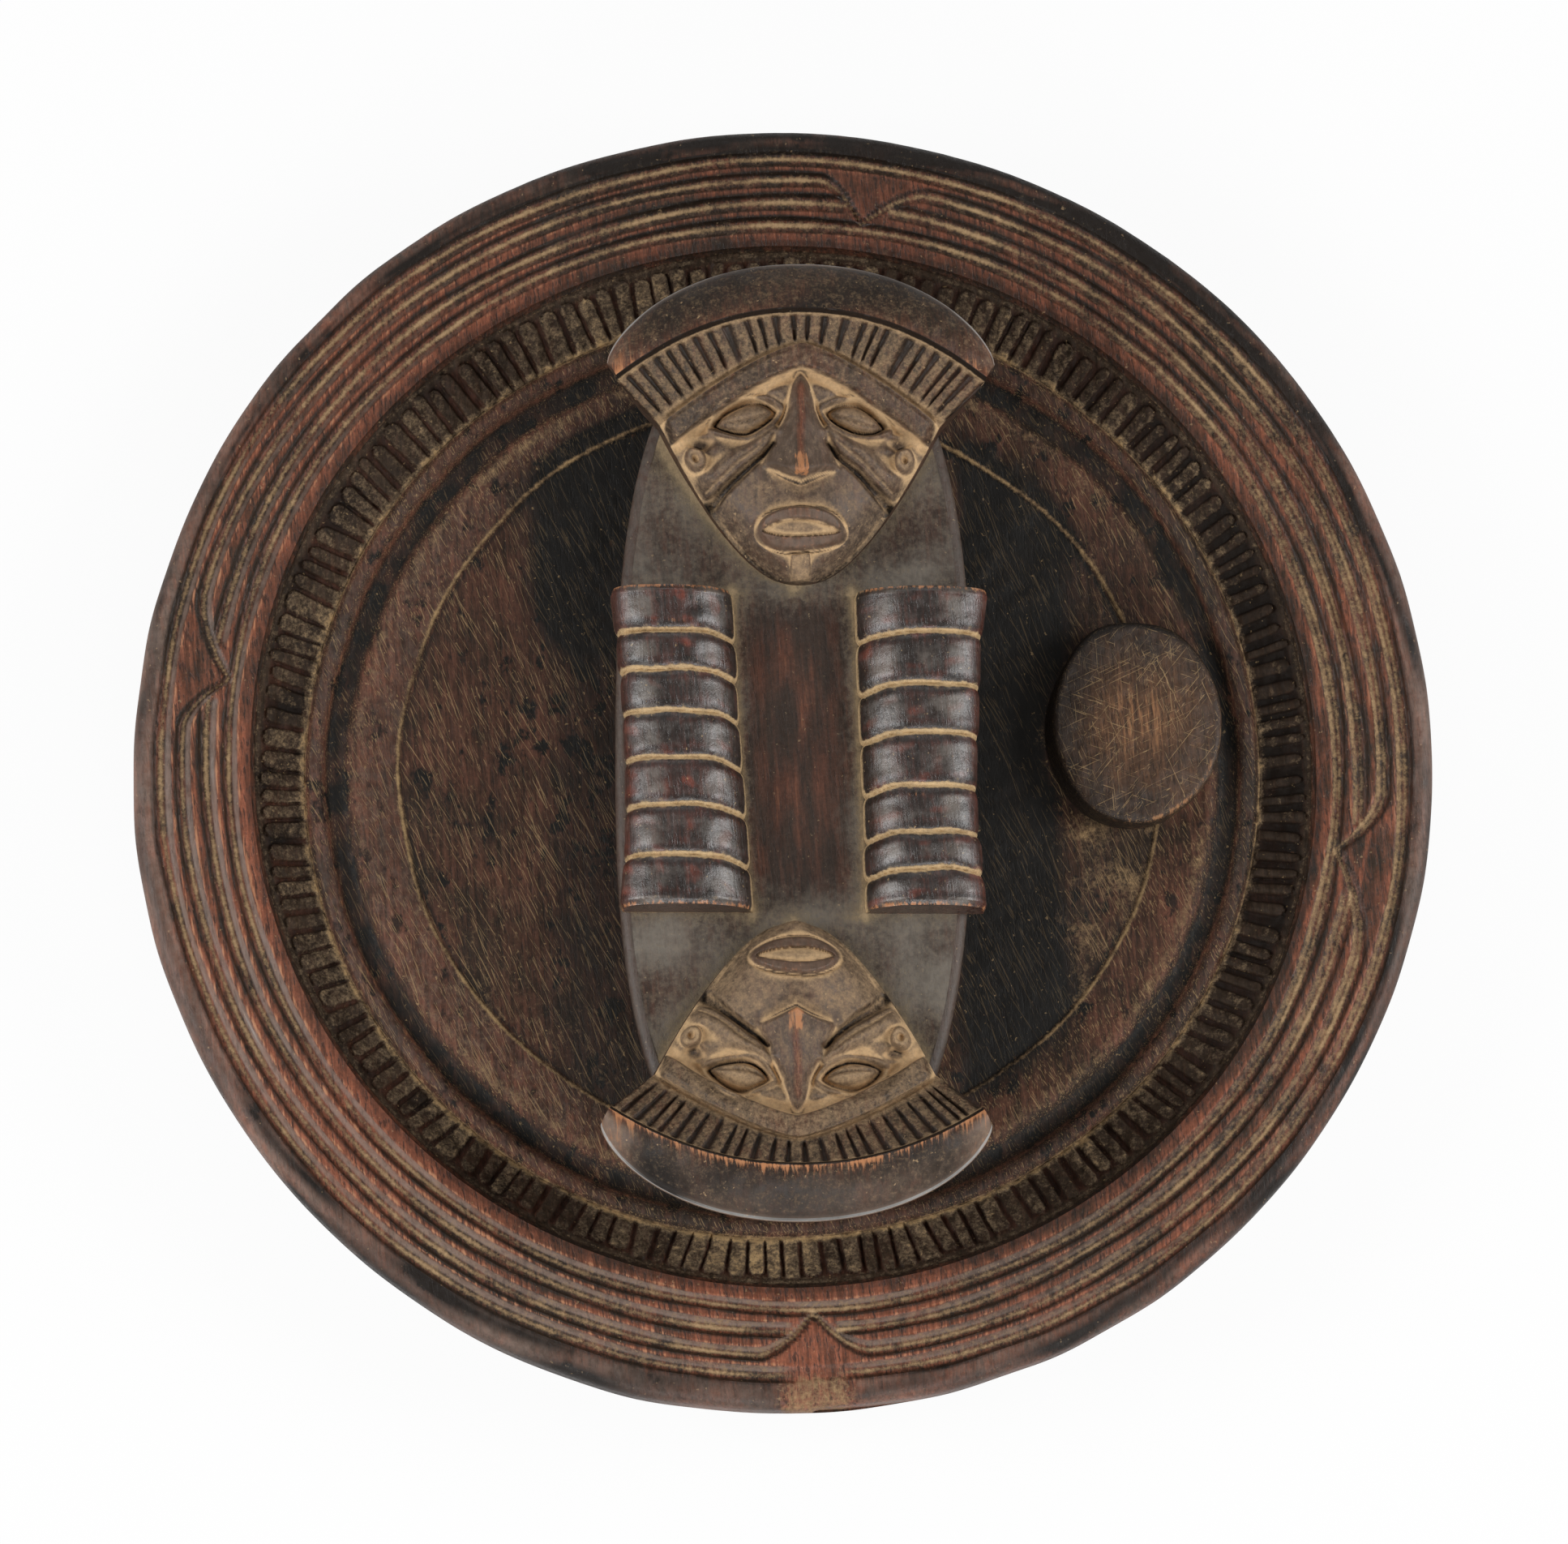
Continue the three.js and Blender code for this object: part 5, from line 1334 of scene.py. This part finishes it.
    # Painted shade in the cuts, hollows, eye lines and crevices, along the face's edges and jaw, in the
    # hair's cuts and on the step, with soot on the crest
    soot_and_shade = 0.36 * m["cut"] + 0.5 * m["hollow"] + 0.4 * m["eye_line"] + 0.12 * m["nose"]
    soot_and_shade += on_face * 0.7 * deep
    soot_and_shade += on_face * smooth(1.5, 0.3, edge_gap) * (0.35 + 0.35 * smooth(chin + 14.0, chin, y))
    soot_and_shade += on_face * 0.45 * jaw * smooth(8.0, 1.0, edge_gap) + 0.12 * in_band
    soot_and_shade += in_hair * (0.5 * rib_cut + 0.15 * (0.6 - hair_dust)) + on_step * 0.85
    soot_and_shade += in_crest * (0.42 + 0.3 * crest_sheen + 0.3 * ripple(x, y, 24.0, seed + 4)) * (1.0 - horns)
    wear = 0.8 * m["nose_tip"] + on_face * 0.2 * smooth(0.08, 0.35, -near)
    along_ridge = in_crest * np.exp(-(row - CREST_START) / 5.0)
    wear += ridge_wear * along_ridge * (0.75 + 0.35 * ripple(x, 0.1 * y, 9.0, seed + 5))
    wear += 0.25 * horns
    red = 0.06 + 0.9 * m["nose_ridge"] + 0.15 * m["lips"] + 0.3 * horns + 0.5 * along_ridge
    red += 0.2 * on_face * smooth(6.4, 5.6, band) * smooth(14.0, 3.0, np.abs(x))
    # Painted sheen on the crest, its ends and the face, and a painted glint along the crest's outer edge
    bloom_and_sheen = in_crest * (crest_sheen + 0.4 * horns)
    bloom_and_sheen += 0.55 * on_face * (1.0 - m["nose_ridge"]) * (1.0 - m["cut"]) * (1.0 - 0.4 * in_band)
    bloom_and_sheen += 1.1 * bell(row, EDGE_START - 1.4, 1.2) + 0.7 * on_edge
    bloom_and_sheen = bloom_and_sheen * (1.0 - np.clip(1.5 * along_ridge, 0.0, 1.0))
    finish = {"dust": dust, "wear": wear, "soot_and_shade": soot_and_shade, "red": red, "bloom_and_sheen": bloom_and_sheen}
    # The sides and underside plain, darkened with painted shade
    plain = {"dust": 0.14, "wear": 0.0, "soot_and_shade": 0.4, "red": 0.2, "bloom_and_sheen": 0.25}
    finish = widen(finish, x.shape, ((0, 0), (0, points.shape[1] - columns)), plain)
    piece = build("carved_" + name, turned, (False, True), finish, caps=(0, -1), sharp_degrees=65.0)
    seat(piece, "lid", "head_wood", head_wood, name)


make_rim()
make_ribs()
make_floor()
make_underside()
make_block()
make_wall()
make_board()
make_plug()
make_roll("left_roll", -1, LEFT_BEADS, 131)
make_roll("right_roll", 1, RIGHT_BEADS, 141)
make_head("back_head", 1.0, (1.4, BACK_CHIN, 84.0), 58.4, 1.0, 151, 0.2, 0.26, 0.0, 0.42, 0.34)
make_head("front_head", -1.0, (0.2, FRONT_CHIN, 82.4), 56.2, 0.0, 171, 0.95, 0.22, 0.42, 0.4, 0.5)

# ---------------------------------------------------------------- floor, light and camera

SHEET_GLOW = 0.93  # how bright the camera sees the sheet
ROOM_LIGHT = 0.19
LENS_LENGTH = 273.3
CAMERA_DISTANCE = 3.2


def stage_floor():
    """A pale sheet under the dish. The camera sees it near white, and it keeps the dish's shadow."""
    mesh = bpy.data.meshes.new("table")
    size = 4.0
    corners = [(-size, -size, 0.0), (size, -size, 0.0), (size, size, 0.0), (-size, size, 0.0)]
    mesh.from_pydata(corners, [], [(0, 1, 2, 3)])
    table = bpy.data.objects.new("table", mesh)
    bpy.context.scene.collection.objects.link(table)
    sheet = bpy.data.materials.new("pale_sheet")
    sheet.use_nodes = True
    tree = sheet.node_tree
    tree.nodes.clear()
    path = tree.nodes.new("ShaderNodeLightPath")
    seen = tree.nodes.new("ShaderNodeMath")
    seen.operation = "MULTIPLY"
    tree.links.new(path.outputs["Is Camera Ray"], seen.inputs[0])
    seen.inputs[1].default_value = SHEET_GLOW
    paper = tree.nodes.new("ShaderNodeBsdfDiffuse")
    paper.inputs["Color"].default_value = (0.8, 0.8, 0.8, 1.0)
    glow = tree.nodes.new("ShaderNodeEmission")
    glow.inputs["Color"].default_value = (1.0, 1.0, 1.0, 1.0)
    both = tree.nodes.new("ShaderNodeMixShader")
    tree.links.new(seen.outputs[0], both.inputs[0])
    tree.links.new(paper.outputs[0], both.inputs[1])
    tree.links.new(glow.outputs[0], both.inputs[2])
    out = tree.nodes.new("ShaderNodeOutputMaterial")
    tree.links.new(both.outputs[0], out.inputs[0])
    mesh.materials.append(sheet)


def soft_light(name, place, size, watts):
    """An oblong lamp that looks at the middle of the dish."""
    lamp = bpy.data.lights.new(name, "AREA")
    lamp.shape = "RECTANGLE"
    lamp.size, lamp.size_y = size
    lamp.energy = watts
    holder = bpy.data.objects.new(name, lamp)
    bpy.context.scene.collection.objects.link(holder)
    holder.location = place
    holder.rotation_euler = (Vector((0.0, 0.0, 0.03)) - Vector(place)).to_track_quat("-Z", "Y").to_euler()


def aim_camera():
    """The photograph's view: nearly straight down, from the front and a little from the left."""
    lens = bpy.data.cameras.new("view")
    lens.sensor_width = 36.0
    lens.lens = LENS_LENGTH
    camera = bpy.data.objects.new("view", lens)
    bpy.context.scene.collection.objects.link(camera)
    back = Vector((-0.0294, -0.180, 1.0)).normalized()
    aim = Vector((0.0, -0.0024, 0.040))
    place = aim + CAMERA_DISTANCE * back
    right = Vector((0.0, 1.0, 0.0)).cross(back).normalized()
    up = back.cross(right)
    turn = Matrix((right, up, back)).transposed().to_4x4()
    camera.matrix_world = Matrix.Translation(place) @ turn
    bpy.context.scene.camera = camera


stage_floor()
soft_light("front", (0.1, -1.5, 0.95), (1.2, 0.8), 15.0)
soft_light("left", (-1.5, -0.2, 0.95), (0.8, 1.2), 20.0)
soft_light("right", (1.5, 0.0, 0.95), (0.8, 1.2), 20.0)
soft_light("back", (-0.2, 1.5, 1.2), (1.2, 0.8), 4.0)
world = bpy.data.worlds.new("room")
bpy.context.scene.world = world
world.use_nodes = True
background = world.node_tree.nodes["Background"]
background.inputs["Color"].default_value = (1.0, 1.0, 1.0, 1.0)
background.inputs["Strength"].default_value = ROOM_LIGHT
aim_camera()
bpy.context.scene.view_settings.view_transform = "Standard"
